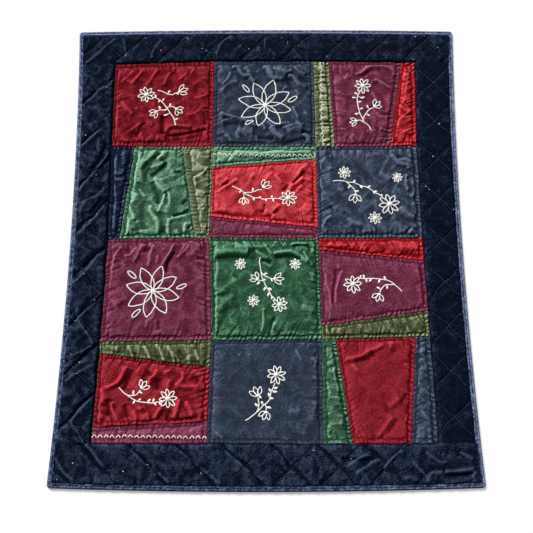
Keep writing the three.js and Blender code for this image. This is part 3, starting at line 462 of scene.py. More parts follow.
# The embroidery of each patch.  flower: x, y, radius, turn in degrees.  floret: a small one,
# likewise.  bloom: a large open flower's middle, and then the tip of each petal.
# stem: the points it passes through.  bud: x, y, size, heading in degrees.
# leaf: x, y, length, heading.  hollow: an open leaf, likewise.
MOTIFS = {
    "patch_r1_c1_dark_red": {
        "flower": [(-397, 520, 28, 10)],
        "stem": [
            (-372, 511, -356, 502, -343, 490, -328, 472, -316, 452, -303, 432, -295, 405),
            (-360, 536, -341, 530, -326, 522, -312, 519, -303, 524, -291, 530),
            (-328, 473, -308, 475, -298, 467), (-335, 462, -348, 463, -357, 459),
        ],
        "bud": [(-290, 531, 30, 20), (-299, 468, 27, -35), (-357, 458, 27, 215)],
        "leaf": [
            (-322, 531, 11, 70), (-292, 524, 10, -40), (-366, 514, 10, 110), (-354, 496, 11, -110),
            (-340, 500, 10, 60), (-331, 463, 10, -160), (-331, 445, 11, 190), (-293, 428, 10, 20),
            (-316, 482, 10, 80), (-350, 473, 11, 120),
        ],
    },
    "patch_r1_c2_slate": {
        "bloom": [
            (-3, 480, -39, 561, 26, 572, 76, 527, 82, 461, 45, 407, -25, 404, -80, 437, -89, 505),
        ],
        "hollow": [(-67, 542, 32, -50), (88, 503, 36, 32), (-55, 415, 30, 205)],
    },
    "patch_r1_c3_plum": {
        "flower": [(322, 551, 28, 5)],
        "stem": [
            (314, 535, 305, 510, 304, 480, 307, 455, 320, 427, 322, 417, 335, 405, 344, 390),
            (321, 430, 330, 450, 342, 465, 355, 472), (322, 415, 310, 422, 300, 422),
        ],
        "bud": [(356, 474, 27, 40), (300, 421, 24, 190)],
        "leaf": [
            (299, 521, 11, 150), (293, 507, 11, 170), (321, 507, 12, 20), (312, 491, 10, 20),
            (315, 466, 10, 20), (298, 447, 11, 160), (336, 474, 10, 80), (337, 444, 11, -30),
        ],
    },
    "patch_r2_c2_red": {
        "flower": [(71, 151, 28, 2)],
        "stem": [
            (
                -109, 191, -94, 185, -80, 178, -66, 166, -52, 159, -36, 152, -20, 152, -8, 147, 6, 147,
                20, 148, 42, 148,
            ),
            (-69, 169, -45, 171, -30, 177, -14, 182), (-71, 168, -69, 156),
        ],
        "bud": [(-9, 187, 27, 45), (-69, 154, 24, 265)],
        "leaf": [
            (-41, 179, 11, 85), (-82, 172, 10, -120), (-37, 147, 11, -80), (1, 143, 10, -60),
            (19, 154, 10, 80), (24, 141, 10, -80), (-18, 154, 9, 60),
        ],
    },
    "patch_r2_c3_slate": {
        "flower": [(393, 128, 34, 10)],
        "floret": [(253, 238, 20, 5), (422, 220, 16, 12), (346, 82, 20, 0)],
        "stem": [
            (
                215, 209, 232, 211, 248, 208, 262, 204, 284, 201, 306, 192, 325, 184, 345, 171,
                360, 162, 374, 152,
            ),
            (258, 204, 268, 194, 280, 181, 287, 166),
        ],
        "bud": [(287, 163, 30, 265)],
        "leaf": [
            (283, 206, 12, 60), (305, 188, 12, -50), (330, 187, 12, 40), (350, 172, 12, 20),
            (345, 169, 10, -80), (266, 187, 10, -110), (291, 173, 12, 0), (370, 158, 10, 60),
        ],
    },
    "patch_r3_c1_plum": {
        "bloom": [
            (
                -349, -157, -431, -138, -388, -83, -323, -79, -277, -114, -268, -180, -306, -229,
                -366, -240, -423, -203,
            ),
        ],
        "hollow": [(-415, -104, 33, -40), (-261, -143, 31, 22), (-397, -229, 34, 48)],
    },
    "patch_r3_c2_pine": {
        "flower": [(42, -200, 26, 10)],
        "floret": [(-80, -70, 17, 10), (91, -70, 17, 5), (-38, -189, 17, 0)],
        "stem": [
            (
                -18, -49, -20, -66, -18, -83, -15, -96, -10, -115, -5, -130, 0, -143, 10, -158,
                17, -173, 30, -186,
            ),
            (-15, -96, -3, -108, 10, -115, 24, -118), (-8, -125, -23, -123),
        ],
        "bud": [(25, -118, 29, -2), (-24, -121, 26, 145)],
        "leaf": [
            (0, -102, 11, 30), (19, -124, 10, -70), (-4, -121, 9, -20), (-24, -132, 11, 215),
            (-4, -152, 11, -100), (13, -152, 12, -30), (7, -169, 11, -110), (17, -179, 9, -100),
        ],
    },
    "patch_r3_c3_plum": {
        "flower": [(269, -136, 28, 5)],
        "stem": [
            (
                286, -120, 292, -118, 306, -118, 331, -117, 356, -120, 371, -123, 388, -129, 399, -138,
                408, -146, 419, -158,
            ),
            (396, -136, 381, -137, 368, -139, 360, -146, 353, -156, 351, -163),
        ],
        "bud": [(350, -165, 27, 250)],
        "leaf": [
            (304, -111, 11, 110), (312, -125, 10, -80), (324, -124, 10, 220), (350, -127, 11, -100),
            (367, -116, 11, 120), (374, -146, 10, -100), (347, -149, 11, 150), (293, -112, 9, 80),
        ],
    },
    "patch_r4_c1_dark_red": {
        "flower": [(-291, -489, 28, 5)],
        "stem": [
            (
                -439, -456, -431, -464, -419, -474, -409, -480, -394, -490, -379, -497, -359, -500,
                -339, -502, -319, -500, -306, -497,
            ),
            (-414, -477, -399, -479, -386, -477, -379, -470, -374, -463),
        ],
        "bud": [(-372, -460, 27, 55)],
        "leaf": [
            (-394, -471, 11, 80), (-372, -470, 10, -20), (-391, -499, 11, 240), (-375, -492, 10, 40),
            (-347, -495, 11, 50), (-334, -495, 11, 80), (-329, -506, 11, -50), (-314, -505, 9, -60),
        ],
    },
    "patch_r4_c2_slate": {
        "flower": [(31, -418, 28, 15)],
        "stem": [
            (
                -62, -552, -49, -546, -36, -537, -24, -527, -11, -513, -3, -506, 6, -495, 11, -486,
                16, -468, 23, -456, 28, -442,
            ),
            (-28, -531, -23, -518, -21, -503, -23, -486), (-3, -506, 1, -515, 1, -524),
        ],
        "bud": [(-23, -482, 30, 115), (1, -526, 26, 250)],
        "leaf": [
            (-29, -507, 11, 130), (-11, -501, 11, 110), (9, -516, 12, -20), (-17, -483, 10, -60),
            (12, -464, 11, 120), (27, -468, 12, 0), (31, -457, 10, 30), (16, -487, 11, 0),
            (8, -477, 11, 100),
        ],
    },
}

# Where the cream quilting thread shows on the borders as a short stitch: x and y of each.
SPECKS = {
    "left": (
        -562, -102, -527, -185, -582, -250, -562, -380, -567, -412, -562, -675, -602, -722, -556, 74,
        -538, 96, -546, 232, -590, 372, -529, 548, -598, 590,
    ),
    "head": (
        -409, 734, -353, 686, -472, 667, -264, 731, -215, 694, -201, 684, -168, 675, -58, 693, 53, 733,
        73, 714, 205, 663, 508, 737, 495, 649,
    ),
    "right": (505, 735, 580, 695, 567, 410, 540, 295, 512, 190, 522, 180, 595, 110),
    "foot": (-343, -679, -412, -699, -188, -704, -561, -676, 139, -640, 247, -664, -604, -722),
}

# The lines of machine stitching: "arch" or "wave", the points along it, pitch and height of a turn.
STITCH_LINES = {
    "patch_r2_c2_green": ("arch", (-177, 298), (-40, 293), (163, 294), 17.4, 7.6),
    "patch_r4_c1_plum": ("arch", (-514, -604), (-340, -606), (-173, -608), 18.0, 7.8),
    "patch_r1_c3_olive": ("wave", (185, 641), (184, 480), (186, 327), 16.0, 4.5),
}

# ---- Numbers over the plan -------------------------------------------------------------------


def smooth(t):
    t = np.clip(t, 0, 1)
    return t * t * (3 - 2 * t)


def noise(x, y, size, seed):
    """Smooth noise, between about -1 and 1, with features about size across."""
    turns = np.random.default_rng(seed).random((64, 64)) * 2 * np.pi
    x, y = np.broadcast_arrays(x / size, y / size)
    column, row = np.floor(x).astype(int), np.floor(y).astype(int)
    x, y = x - column, y - row
    ease_x = x**3 * (x * (6 * x - 15) + 10)
    ease_y = y**3 * (y * (6 * y - 15) + 10)

    def slope(right, up):
        turn = turns[(column + right) % 64, (row + up) % 64]
        return np.cos(turn) * (x - right) + np.sin(turn) * (y - up)

    low = slope(0, 0) + ease_x * (slope(1, 0) - slope(0, 0))
    high = slope(0, 1) + ease_x * (slope(1, 1) - slope(0, 1))
    return 1.7 * (low + ease_y * (high - low))


def ridges(x, y, size, seed):
    """Sharp ridges about size apart, 1 high."""
    return 1 - 2.2 * np.abs(noise(x, y, size, seed))


def nearest_on(x, y, points):
    """Distance to a chain of points, how far along it the nearest point is, and the side.

    The side is 1 where the place is towards the light from the chain, -1 where it is away.
    """
    away = np.full(np.shape(x), np.inf)
    along = np.zeros(np.shape(x))
    side = np.zeros(np.shape(x))
    passed = 0.0
    for (ax, ay), (bx, by) in zip(points, points[1:]):
        length = math.hypot(bx - ax, by - ay)
        t = np.clip(((x - ax) * (bx - ax) + (y - ay) * (by - ay)) / length**2, 0, 1)
        out_x, out_y = x - ax - t * (bx - ax), y - ay - t * (by - ay)
        here = np.hypot(out_x, out_y)
        closer = here < away
        away = np.where(closer, here, away)
        along = np.where(closer, passed + t * length, along)
        side = np.where(closer, (out_x * LIT_SIDE[0] + out_y * LIT_SIDE[1]) / (here + 0.01), side)
        passed += length
    return away, along, side


def is_inside(x, y, around):
    """Whether places lie inside a closed chain of points."""
    inside = np.zeros(np.shape(x), bool)
    for (ax, ay), (bx, by) in zip(around, [*around[1:], around[0]]):
        if ay != by:
            inside ^= ((ay > y) != (by > y)) & (x < ax + (y - ay) * (bx - ax) / (by - ay))
    return inside


def step_lengths(points):
    return [math.hypot(b[0] - a[0], b[1] - a[1]) for a, b in zip(points, points[1:])]


def pairs(numbers):
    return [(numbers[i], numbers[i + 1] - RAISED_VIEW) for i in range(0, len(numbers), 2)]


def between(a, b, t):
    return (a[0] + (b[0] - a[0]) * t, a[1] + (b[1] - a[1]) * t)


def along_chain(points, t):
    """The place at the fraction t, which may be an array, of a chain's length."""
    steps = [0.0, *step_lengths(points)]
    passed = np.cumsum(steps) / sum(steps)
    return np.interp(t, passed, [p[0] for p in points]), np.interp(t, passed, [p[1] for p in points])


def eased(a, b, c, d, t):
    """A number at the fraction t from b to c, on a smooth curve through all four."""
    bend = (2 * a - 5 * b + 4 * c - d) * t**2
    return 0.5 * (2 * b + (c - a) * t + bend + (3 * b - a - 3 * c + d) * t**3)


def curve_through(points, step):
    """Points about step apart on a smooth curve that passes through the given ones."""
    ends = [between(points[1], points[0], 2), *points, between(points[-2], points[-1], 2)]
    made = []
    for four in zip(ends, ends[1:], ends[2:], ends[3:]):
        count = max(2, round(math.dist(four[1], four[2]) / step))
        for i in range(count):
            made.append(tuple(eased(*numbers, i / count) for numbers in zip(*four)))
    return made + [points[-1]]


# ---- Relief of the cloth ---------------------------------------------------------------------


def crease_relief(x, y, creases):
    """What a list of creases adds to the height, each fading out towards its ends."""
    relief = np.zeros(x.shape)
    for height, width, *numbers in creases:
        height, width = height * CREASE_HEIGHT, width * CREASE_WIDTH
        points = curve_through(pairs(numbers), 9)
        xs, ys = [p[0] for p in points], [p[1] for p in points]
        reach = CREASE_REACH * width
        near = (x > min(xs) - reach) & (x < max(xs) + reach) & (y > min(ys) - reach) & (y < max(ys) + reach)
        away, along, side = nearest_on(x[near], y[near], points)
        length = sum(step_lengths(points))
        fade = smooth(np.minimum(along, length - along) / min(0.45 * length, 9))
        lit = 0.5 * (1 + side)
        if height > 0:
            # A narrow crease is steep towards the light.  A wide one is steep on its dark side,
            # with a dip at its foot there.
            bank = min(max(width / CREASE_WIDTH - 3.3, 0), 1)
            dark, light = between((2.0, 0.85), (1.15, 2.85), bank)
            spread = width * (dark + (light - dark) * lit)
            dip = 0.25 * bank * (1 - lit) * np.exp(-((away / width - 2.6) ** 2) / 1.5)
        else:
            spread = width * (1.6 - 0.6 * lit)
            dip = 0
        shape = np.exp(-((np.hypot(away, 0.8) / spread) ** 1.25))
        relief[near] += height * fade * (shape - dip)
    return relief


def crumple_relief(x, y, seed):
    """Small creases in every direction, where flat facets of cloth meet."""
    bend_x = x + 12 * noise(x, y, 50, seed + 1)
    bend_y = y + 12 * noise(x, y, 50, seed + 2)
    return sum(
        tall * ridges(bend_x, bend_y, size, seed + number)
        for number, (size, tall) in enumerate(CRUMPLES, 3)
    )


def seam_relief(x, y, seams, gathers, seed):
    """Height of cloth that is sewn down along its seams, and how free of them each point is.

    A seam is its two ends, the allowance's width, how tall its puckers are, how much higher
    it is at the seam, and how firmly it is drawn down.
    """
    lip = np.zeros(x.shape)
    cleft = np.ones(x.shape)
    loft = np.ones(x.shape)
    groove = np.zeros(x.shape)
    ruck = np.zeros(x.shape)
    for number, (points, band, rib, rise, hold) in enumerate(seams):
        away, along, _ = nearest_on(x, y, points)
        key = seed + 11 * number
        band = band * (1 + 0.2 * noise(along, 0.0, 37, key) + 0.12 * noise(along, 5.0, 13, key))
        past = away - band
        beyond = np.maximum(past, 0)
        # The puckers of the folded allowance, up to the stitched line.
        place = along + 0.5 * math.sin(key) * away + 0.25 * away * noise(along, 2.0, 50, key + 6)
        turns = place / (LOBE + 1.5 * math.sin(3 * key)) + 0.7 * noise(place, 3.0, 41, key + 1)
        lobes = 3.6 * np.abs(np.sin(np.pi * turns)) ** 0.6 - 2.6
        tall = np.maximum(0.65 + 1.0 * noise(place, 7.0, 36, key + 2), 0.05)
        cleft *= 1 - np.exp(-away / CLEFT_WIDTH)
        lip = np.maximum(lip, rise * (1 - smooth(away / band)))
        loft *= 1 - hold * np.exp(-beyond / PUFF)
        groove = np.maximum(groove, hold * np.exp(-((past / GROOVE_WIDTH) ** 2)))
        ruck += rib * tall * lobes * np.sin(np.pi * np.clip(away / (band + 0.01), 0, 1)) ** 0.6
        # The gathers past it, some of which run on as pleats.
        reach = GATHER_REACH + 16 * np.maximum(noise(place, 11.0, 60, key + 5), -0.4)
        fade = smooth(past / 4) * np.exp(-beyond / reach)
        tuck = ridges(place, away * 0.12, 14, key + 3)
        tuck += 1.2 * (1 - 2.4 * np.abs(noise(place, away * 0.08, 27, key + 4)))
        nearest = np.round(turns)
        notch = np.exp(-np.abs(turns - nearest) * LOBE / NOTCH)
        chance = np.random.default_rng(key).random(256)[nearest.astype(int) % 256]
        pleats = notch * np.exp(-beyond / (3 + PLEAT_REACH * chance**3))
        sunk = PLEAT_DEPTH * (0.15 + chance**2) * smooth(past / 2) * pleats
        ruck += gathers * (GATHER_HEIGHT * fade * tuck - sunk)
    base = STITCHED_Z + lip - CLEFT * (1 - cleft) - GROOVE * groove + PATCH_RISE * loft
    return base + ruck * smooth(cleft * 1.4), loft


def patch_height(seams, creases, crumple, gathers, seed):
    def height(x, y):
        base, loft = seam_relief(x, y, seams, gathers, seed)
        sway = 1.4 * noise(x, y, 95, seed + 70) + crumple * 1.1 * noise(x, y, 48, seed + 71)
        free = smooth(loft * 1.5)
        folds = crease_relief(x, y, creases) * (0.3 + 0.7 * free)
        edge = np.minimum.reduce([nearest_on(x, y, points)[0] for points, *_ in seams])
        rough = crumple * crumple_relief(x, y, seed + 80)
        return soft_limit(base + free * (sway + rough) + folds * smooth(edge / 2.5))

    return height


def soft_limit(z):
    """Holds back heights past the tallest fold, and those near the floor."""
    z = np.where(z > TALLEST, TALLEST + HIGHER * np.tanh((z - TALLEST) / HIGHER), z)
    return np.where(z < LOWEST, LOWEST - LOWER + LOWER * np.exp((z - LOWEST) / LOWER), z)


def bent(x, y):
    """Where a place would lie if the quilted lines through it were straight."""
    bend_x = x + 5 * noise(x, y, 60, 31) + 1.8 * noise(x, y, 15, 33)
    bend_y = y + 5 * noise(x, y, 60, 32) + 1.8 * noise(x, y, 15, 34)
    return bend_x, bend_y


def foot_fade(key, x):
    """How strongly the foot's rising or falling lines are drawn in, from its left to its right."""
    return smooth(np.minimum(x + 170, 560 - x) / 160 if key == "rising" else (500 - x) / 450)


def quilt_relief(x, y, name):
    """The drawn-in lines of a border's quilting, and the puff of the diamonds between."""
    bend_x, bend_y = bent(x, y)
    relief = np.zeros(x.shape)
    puff = np.ones(x.shape)
    for key, value, leftward in (("rising", bend_y - bend_x, 1), ("falling", bend_y + bend_x, -1)):
        first, pitch, depth = QUILTING[name][key]
        t = (value - first) / pitch
        past = (t - np.round(t)) * pitch * math.sqrt(0.5)
        spread = np.where(past * leftward > 0, QUILT_SLOPE, QUILT_WALL)
        depth = depth * (1 + 0.35 * noise(x, y, 45, 35))
        if name == "foot":
            depth = depth * foot_fade(key, x)
        away = np.abs(past)
        relief -= QUILT_DEPTH * depth * np.exp(-np.hypot(away, 0.6) / spread)
        puff = np.minimum(puff, 1 - np.minimum(depth, 1) * np.exp(-away / 16))
    return relief + QUILT_PUFF * (puff - 0.6)


def border_height(name, inner, outer):
    def height(x, y):
        inside, along_inner, _ = nearest_on(x, y, inner)
        outside, along_outer, _ = nearest_on(x, y, outer)
        rise = (1 - np.exp(-inside / 9)) * (1 - 0.7 * np.exp(-outside / 7))
        lip = 1 - np.exp(-inside / 2)
        base = BORDER_Z + 1.0 * lip + BORDER_RISE * rise - BORDER_FALL * np.exp(-outside / 5)
        pleats = np.zeros(x.shape)
        for away, along, key in ((inside, along_inner, 41), (outside, along_outer, 42)):
            tuck = ridges(along, away * 0.2, 19, key)
            pleats += 0.9 * tuck * np.exp(-away / 14) * smooth(away / 4)
        free = smooth(rise * 1.4)
        sway = 1.0 * noise(x, y, 80, 43) + 0.7 * noise(x, y, 36, 44)
        fine = 0.5 * noise(x, y, 17, 45) + 0.35 * noise(x, y, 9, 46)
        rough = BORDER_CRUMPLE[name] * (crumple_relief(x, y, 50) + fine)
        folds = crease_relief(x, y, BORDER_CREASES[name]) + quilt_relief(x, y, name)
        return soft_limit(base + pleats + 1.2 * free + free * (sway + folds + rough))

    return height


# ---- Meshes ----------------------------------------------------------------------------------


def stops(length, coarser=1.0):
    """Fractions of a side at which the mesh has its rows, closer together by the seams."""
    rim = min(RIM, length / 2.5)
    fine = np.arange(0, rim, FINE_STEP * coarser)
    count = max(2, round((length - 2 * rim) / (STEP * coarser)))
    middle = np.linspace(rim, length - rim, count + 1)
    return np.concatenate([fine, middle, length - fine[::-1]]) / length


def strayed(x, y):
    """Moves places so that seams wander a little, but not those at the binding."""
    inside = np.minimum(side_x(y, BINDING_WIDTH) - np.abs(x), head_y(x, BINDING_WIDTH) - y)
    inside = np.minimum(inside, y - foot_y(x, BINDING_WIDTH))
    amount = WANDER * smooth(inside / 60)
    right = noise(x, y, 43, 901) + 0.5 * noise(x, y, 15, 902)
    up = noise(x, y, 43, 903) + 0.5 * noise(x, y, 15, 904)
    return x + amount * right, y + amount * up


def slopes(x, y, z):
    """Rise of z per unit of x and of y, on a mesh whose rows needn't run along x and y."""
    (x_u, x_v), (y_u, y_v), (z_u, z_v) = np.gradient(x), np.gradient(y), np.gradient(z)
    scale = x_u * y_v - x_v * y_u
    return (z_u * y_v - z_v * y_u) / scale, (x_u * z_v - x_v * z_u) / scale


def blurred(z, rounds):
    for _ in range(rounds):
        z = np.pad(z, 1, mode="edge")
        z = (z[:-2] + 2 * z[1:-1] + z[2:]) / 4
        z = (z[:, :-2] + 2 * z[:, 1:-1] + z[:, 2:]) / 4
    return z


def link(name, data):
    made = bpy.data.objects.new(name, data)
    bpy.context.scene.collection.objects.link(made)
    return made


def add_piece(name, vertices, faces, material, slot, stands_for):
    """A piece on the throw's one body, in the place of a CAD node."""
    mesh = bpy.data.meshes.new(name)
    mesh.from_pydata((np.asarray(vertices) * MM).tolist(), [], faces)
    mesh.polygons.foreach_set("use_smooth", [True] * len(mesh.polygons))
    mesh.materials.append(material)
    piece = link(name, mesh)
    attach(piece, "root")
    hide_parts(stands_for)
    return piece


def add_values(piece, name, values, rim=()):
    """Stores a value from -1 to 1 with each of a piece's points, -1 for those below a rim."""
    values = np.concatenate([np.clip(values, -1, 1).reshape(-1), -np.ones(len(rim))])
    stored = piece.data.attributes.new(name, "FLOAT", "POINT")
    stored.data.foreach_set("value", values.astype(np.float32))


def add_pad(node_name, x, y, z, velvet, slot, wear_and_painted_shade):
    """A closed pad with the given top, upright sides and a flat underside."""
    across, along = x.shape
    rise_x, rise_y = slopes(x, y, z)
    x, y = strayed(x, y)
    top = np.stack([x, y, z], -1).reshape(-1, 3)
    index = np.arange(across * along).reshape(across, along)
    corners = [index[:-1, :-1], index[1:, :-1], index[1:, 1:], index[:-1, 1:]]
    faces = np.stack(corners, -1).reshape(-1, 4).tolist()
    rim = np.concatenate([index[:-1, 0], index[-1, :-1], index[:0:-1, -1], index[0, :0:-1]])
    under = len(top) + np.arange(len(rim))
    faces += np.stack([under, np.roll(under, -1), np.roll(rim, -1), rim], -1).tolist()
    faces.append(under[::-1].tolist())
    foot = top[rim] * (1, 1, 0)
    vertices = np.concatenate([top, foot])
    piece = add_piece("velvet_" + node_name, vertices, faces, MATERIALS[velvet], slot, node_name)
    piece.data.set_sharp_from_angle(angle=math.radians(65))
    # Painted shade in the hollows and painted highlight on the crests, partly rubbed pile; the upright
    # sides are painted darkest at the floor.
    crest_wear_and_painted_shade = 0.3 * (z - blurred(z, 8)) / 0.8 + 0.7 * (z - blurred(z, 90)) / 3
    add_values(piece, "crest_wear_and_painted_shade", crest_wear_and_painted_shade, rim)
    # Painted light: slopes facing the light's way are painted paler and the others darker, on top of the
    # piece's rubbed paleness.
    add_values(piece, "wear_and_painted_light", wear_and_painted_shade - (rise_x * PAINTED_LIGHT_WAY[0] + rise_y * PAINTED_LIGHT_WAY[1]), rim)
    return piece


def tube_faces(count, sides):
    """Faces of a tube with that many rings, closed at both ends."""
    start = np.arange(count - 1)[:, None] * sides
    here = np.arange(sides)
    beside = (here + 1) % sides
    quads = np.stack([start + here, start + sides + here, start + sides + beside, start + beside], -1)
    last = (count - 1) * sides
    return [*quads.reshape(-1, 4).tolist(), list(range(sides)), list(range(last + sides - 1, last - 1, -1))]


def tube_mesh(points, radii, flat=0.7, sides=6):
    """Vertices and faces of a round thread along points, closed at both ends."""
    points = np.asarray(points, float)
    radii = np.broadcast_to(radii, len(points))
    ahead = np.gradient(points, axis=0)
    ahead /= np.linalg.norm(ahead, axis=1)[:, None] + 1e-9
    side = np.cross(ahead, (0, 0, 1))
    side /= np.linalg.norm(side, axis=1)[:, None] + 1e-9
    up = np.cross(side, ahead)
    turn = 2 * np.pi * np.arange(sides) / sides
    rings = (
        points[:, None]
        + radii[:, None, None] * np.cos(turn)[None, :, None] * side[:, None]
        + flat * radii[:, None, None] * np.sin(turn)[None, :, None] * up[:, None]
    )
    return rings.reshape(-1, 3), tube_faces(len(points), sides)


def join_meshes(parts):
    vertices, faces, passed = [], [], 0
    for part_vertices, part_faces in parts:
        vertices.append(part_vertices)
        faces += [[i + passed for i in face] for face in part_faces]
        passed += len(part_vertices)
    return np.concatenate(vertices), faces


# ---- Materials -------------------------------------------------------------------------------

# Each velvet where it lies low, flat and on a ridge top: painted shade for hollows and slopes away from the
# light, its flat colour, and painted highlight for ridge tops and slopes towards the light.
VELVETS = {
    "dark_red": ("2c0206", "6c121d", "ba3a46"),
    "red": ("66080e", "9c1a24", "e4565f"),
    "slate": ("161e2c", "2e3748", "6c7890"),
    "navy": ("03081a", "172036", "6a7a9a"),
    "plum": ("401428", "62243a", "a45c77"),
    "green": ("143024", "3a5e48", "96c8a6"),
    "pine": ("143022", "2a5038", "76ae8a"),
    "olive": ("242c16", "485234", "a8b08a"),
    "sage": ("263016", "525e44", "b4be9a"),
    "border": ("02060f", "0a1426", "46526c"),
    "binding": ("10182c", "384564", "8c98ba"),
}
# How tall the finest wrinkles of each velvet are, in mm.
WRINKLES = dict.fromkeys(VELVETS, 3.6) | {"border": 4.6, "binding": 2.0}
# How close together the blotches of the mottled pile are, and how strong.
MOTTLE = dict.fromkeys(VELVETS, (28.0, 0.3)) | {"border": (34.0, 0.32), "binding": (95.0, 1.1)}
# How much the crests' painted shade and highlight, the painted light on slopes with each piece's rubbed
# paleness, and the pile's nap each change its tone, and where it starts.
CREST_AND_PAINTED_SHADE_TONE, WEAR_AND_PAINTED_LIGHT_TONE, NAP_TONE, FLAT_TONE = 0.25, 0.32, 0.7, 0.155


def linear(hex_colour):
    channels = [int(hex_colour[i : i + 2], 16) / 255 for i in (0, 2, 4)]
    return [c / 12.92 if c <= 0.04045 else ((c + 0.055) / 1.055) ** 2.4 for c in channels] + [1]


def node(tree, kind, inputs, **settings):
    """The outputs of a new node, with its inputs set or linked."""
    made = tree.nodes.new(kind)
    for key, value in settings.items():
        setattr(made, key, value)
    for key, value in inputs.items():
        if isinstance(value, bpy.types.NodeSocket):
            tree.links.new(value, made.inputs[key])
        else:
            made.inputs[key].default_value = value
    return made.outputs


def maths(tree, operation, *values):
    return node(tree, "ShaderNodeMath", dict(enumerate(values)), operation=operation)[0]


def speckle(tree, scale, detail):
    place = node(tree, "ShaderNodeTexCoord", {})["Object"]
    return node(tree, "ShaderNodeTexNoise", {"Vector": place, "Scale": scale, "Detail": detail})["Fac"]


def point_value(tree, name):
    return node(tree, "ShaderNodeAttribute", {}, attribute_name=name)["Fac"]


def ramp(tree, value, *colours):
    """Colours over a value, each given with its position."""
    made = tree.nodes.new("ShaderNodeValToRGB")
    tree.links.new(value, made.inputs["Fac"])
    elements = made.color_ramp.elements
    elements[0].position, elements[-1].position = colours[0][0], colours[-1][0]
    for position, _ in colours[1:-1]:
        elements.new(position)
    for element, (_, colour) in zip(elements, colours):
        element.color = linear(colour)
    return made.outputs["Color"]


def add_material(name, **settings):
    """A material, its node tree and its shader with the given settings."""
    material = bpy.data.materials.new(name)
    material.use_nodes = True
    shader = material.node_tree.nodes["Principled BSDF"]
    for key, value in settings.items():
        shader.inputs[key.replace("_", " ")].default_value = value
    return material, material.node_tree, shader


def velvet_material(name):
    """Velvet: its pile is mottled, with painted shade in the hollows, painted highlight on the partly
    rubbed crests, and painted light on slopes that face the light.
    """
    low, flat, high = VELVETS[name]
    material, tree, shader = add_material(
        "velvet_" + name,
        Roughness=0.92,
        Specular_IOR_Level=0.03,
        Sheen_Weight=0.06,
        Sheen_Roughness=0.45,
        Sheen_Tint=linear(high),
    )
    size, depth = MOTTLE[name]
    nap = speckle(tree, 260.0, 3.0)
    tone = FLAT_TONE - 0.5 * depth
    # Painted shade and highlight by the crests, painted light on slopes with the piece's rubbed paleness,
    # then the nap and the mottle.
    for value, weight in (
        (point_value(tree, "crest_wear_and_painted_shade"), CREST_AND_PAINTED_SHADE_TONE),
        (point_value(tree, "wear_and_painted_light"), WEAR_AND_PAINTED_LIGHT_TONE),
        (nap, NAP_TONE),
        (speckle(tree, size, 4.0), depth),
    ):
        tone = maths(tree, "MULTIPLY_ADD", value, weight, tone)
    ridge = maths(tree, "ABSOLUTE", maths(tree, "SUBTRACT", speckle(tree, 70.0, 2.0), 0.5))
    wrinkled = {"Height": ridge, "Strength": 1.0, "Distance": WRINKLES[name] * MM}
    crumpled = node(tree, "ShaderNodeBump", wrinkled, invert=True)["Normal"]
    pile = {"Height": nap, "Strength": 0.5, "Distance": 0.9 * MM, "Normal": crumpled}
    tree.links.new(ramp(tree, tone, (0.12, low), (0.5, flat), (0.92, high)), shader.inputs["Base Color"])
    tree.links.new(node(tree, "ShaderNodeBump", pile)["Normal"], shader.inputs["Normal"])
    return material


def thread_material(name, dark, pale):
    """Cotton thread with a fine twist."""
    material, tree, shader = add_material(
        name, Roughness=0.7, Specular_IOR_Level=0.3, Sheen_Weight=0.5, Sheen_Roughness=0.5
    )
    fleck = speckle(tree, 420.0, 2.0)
    twist = {"Height": fleck, "Strength": 0.4, "Distance": 0.4 * MM}
    tree.links.new(ramp(tree, fleck, (0.3, dark), (0.7, pale)), shader.inputs["Base Color"])
    tree.links.new(node(tree, "ShaderNodeBump", twist)["Normal"], shader.inputs["Normal"])
    return material


MATERIALS = {name: velvet_material(name) for name in VELVETS}
THREAD = thread_material("cream_thread", "fdfaf0", "fffffa")
QUILTING_THREAD = thread_material("quilting_thread", "343d56", "566280")

# ---- Floor, camera and lights ----------------------------------------------------------------

CAMERA_PLACE = (9.36, -870.66, 2541.05)
CAMERA_TURN = (0.0098, 0.3014, -0.0107)  # about the camera's z, x and z axes in turn, radians
LENS = 57.6
KEY_AZIMUTH, KEY_ELEVATION = math.radians(120), math.radians(30)
STUDIO_LIGHT = 0.28  # the white world's strength, where the camera sees it as 1
FLOOR_WIDTH = 12.0  # in metres
FLOOR_DROP = 0.3  # how far it lies below the throw, so that the two never share a plane
FLOOR_LIFT = 0.24  # what the floor adds to its colour where the camera sees it


def white_to_camera(tree):
    """1 for the rays that see the thing itself or its reflection."""
    path = node(tree, "ShaderNodeLightPath", {})
    glossy = maths(tree, "MAXIMUM", path["Is Camera Ray"], path["Is Glossy Ray"])
    return maths(tree, "MAXIMUM", glossy, path["Is Transmission Ray"])


def add_floor():
    mesh = bpy.data.meshes.new("floor")
    half = FLOOR_WIDTH / 2
    corners = [(-half, -half, 0), (half, -half, 0), (half, half, 0), (-half, half, 0)]
    mesh.from_pydata(corners, [], [(0, 1, 2, 3)])
    floor = link("floor", mesh)
    floor.location.z = -FLOOR_DROP * MM
    material, tree, shader = add_material(
        "floor",
        Base_Color=(0.8, 0.8, 0.8, 1),
        Roughness=1.0,
        Specular_IOR_Level=0.0,
        Emission_Color=(1, 1, 1, 1),
    )
    lift = maths(tree, "MULTIPLY", white_to_camera(tree), FLOOR_LIFT)
    tree.links.new(lift, shader.inputs["Emission Strength"])
    mesh.materials.append(material)


def add_world():
    world = bpy.data.worlds.new("studio")
    world.use_nodes = True
    tree = world.node_tree
    bright = maths(tree, "MULTIPLY_ADD", white_to_camera(tree), 1 - STUDIO_LIGHT, STUDIO_LIGHT)
    background = tree.nodes["Background"]
    background.inputs["Color"].default_value = (1, 1, 1, 1)
    tree.links.new(bright, background.inputs["Strength"])
    bpy.context.scene.world = world


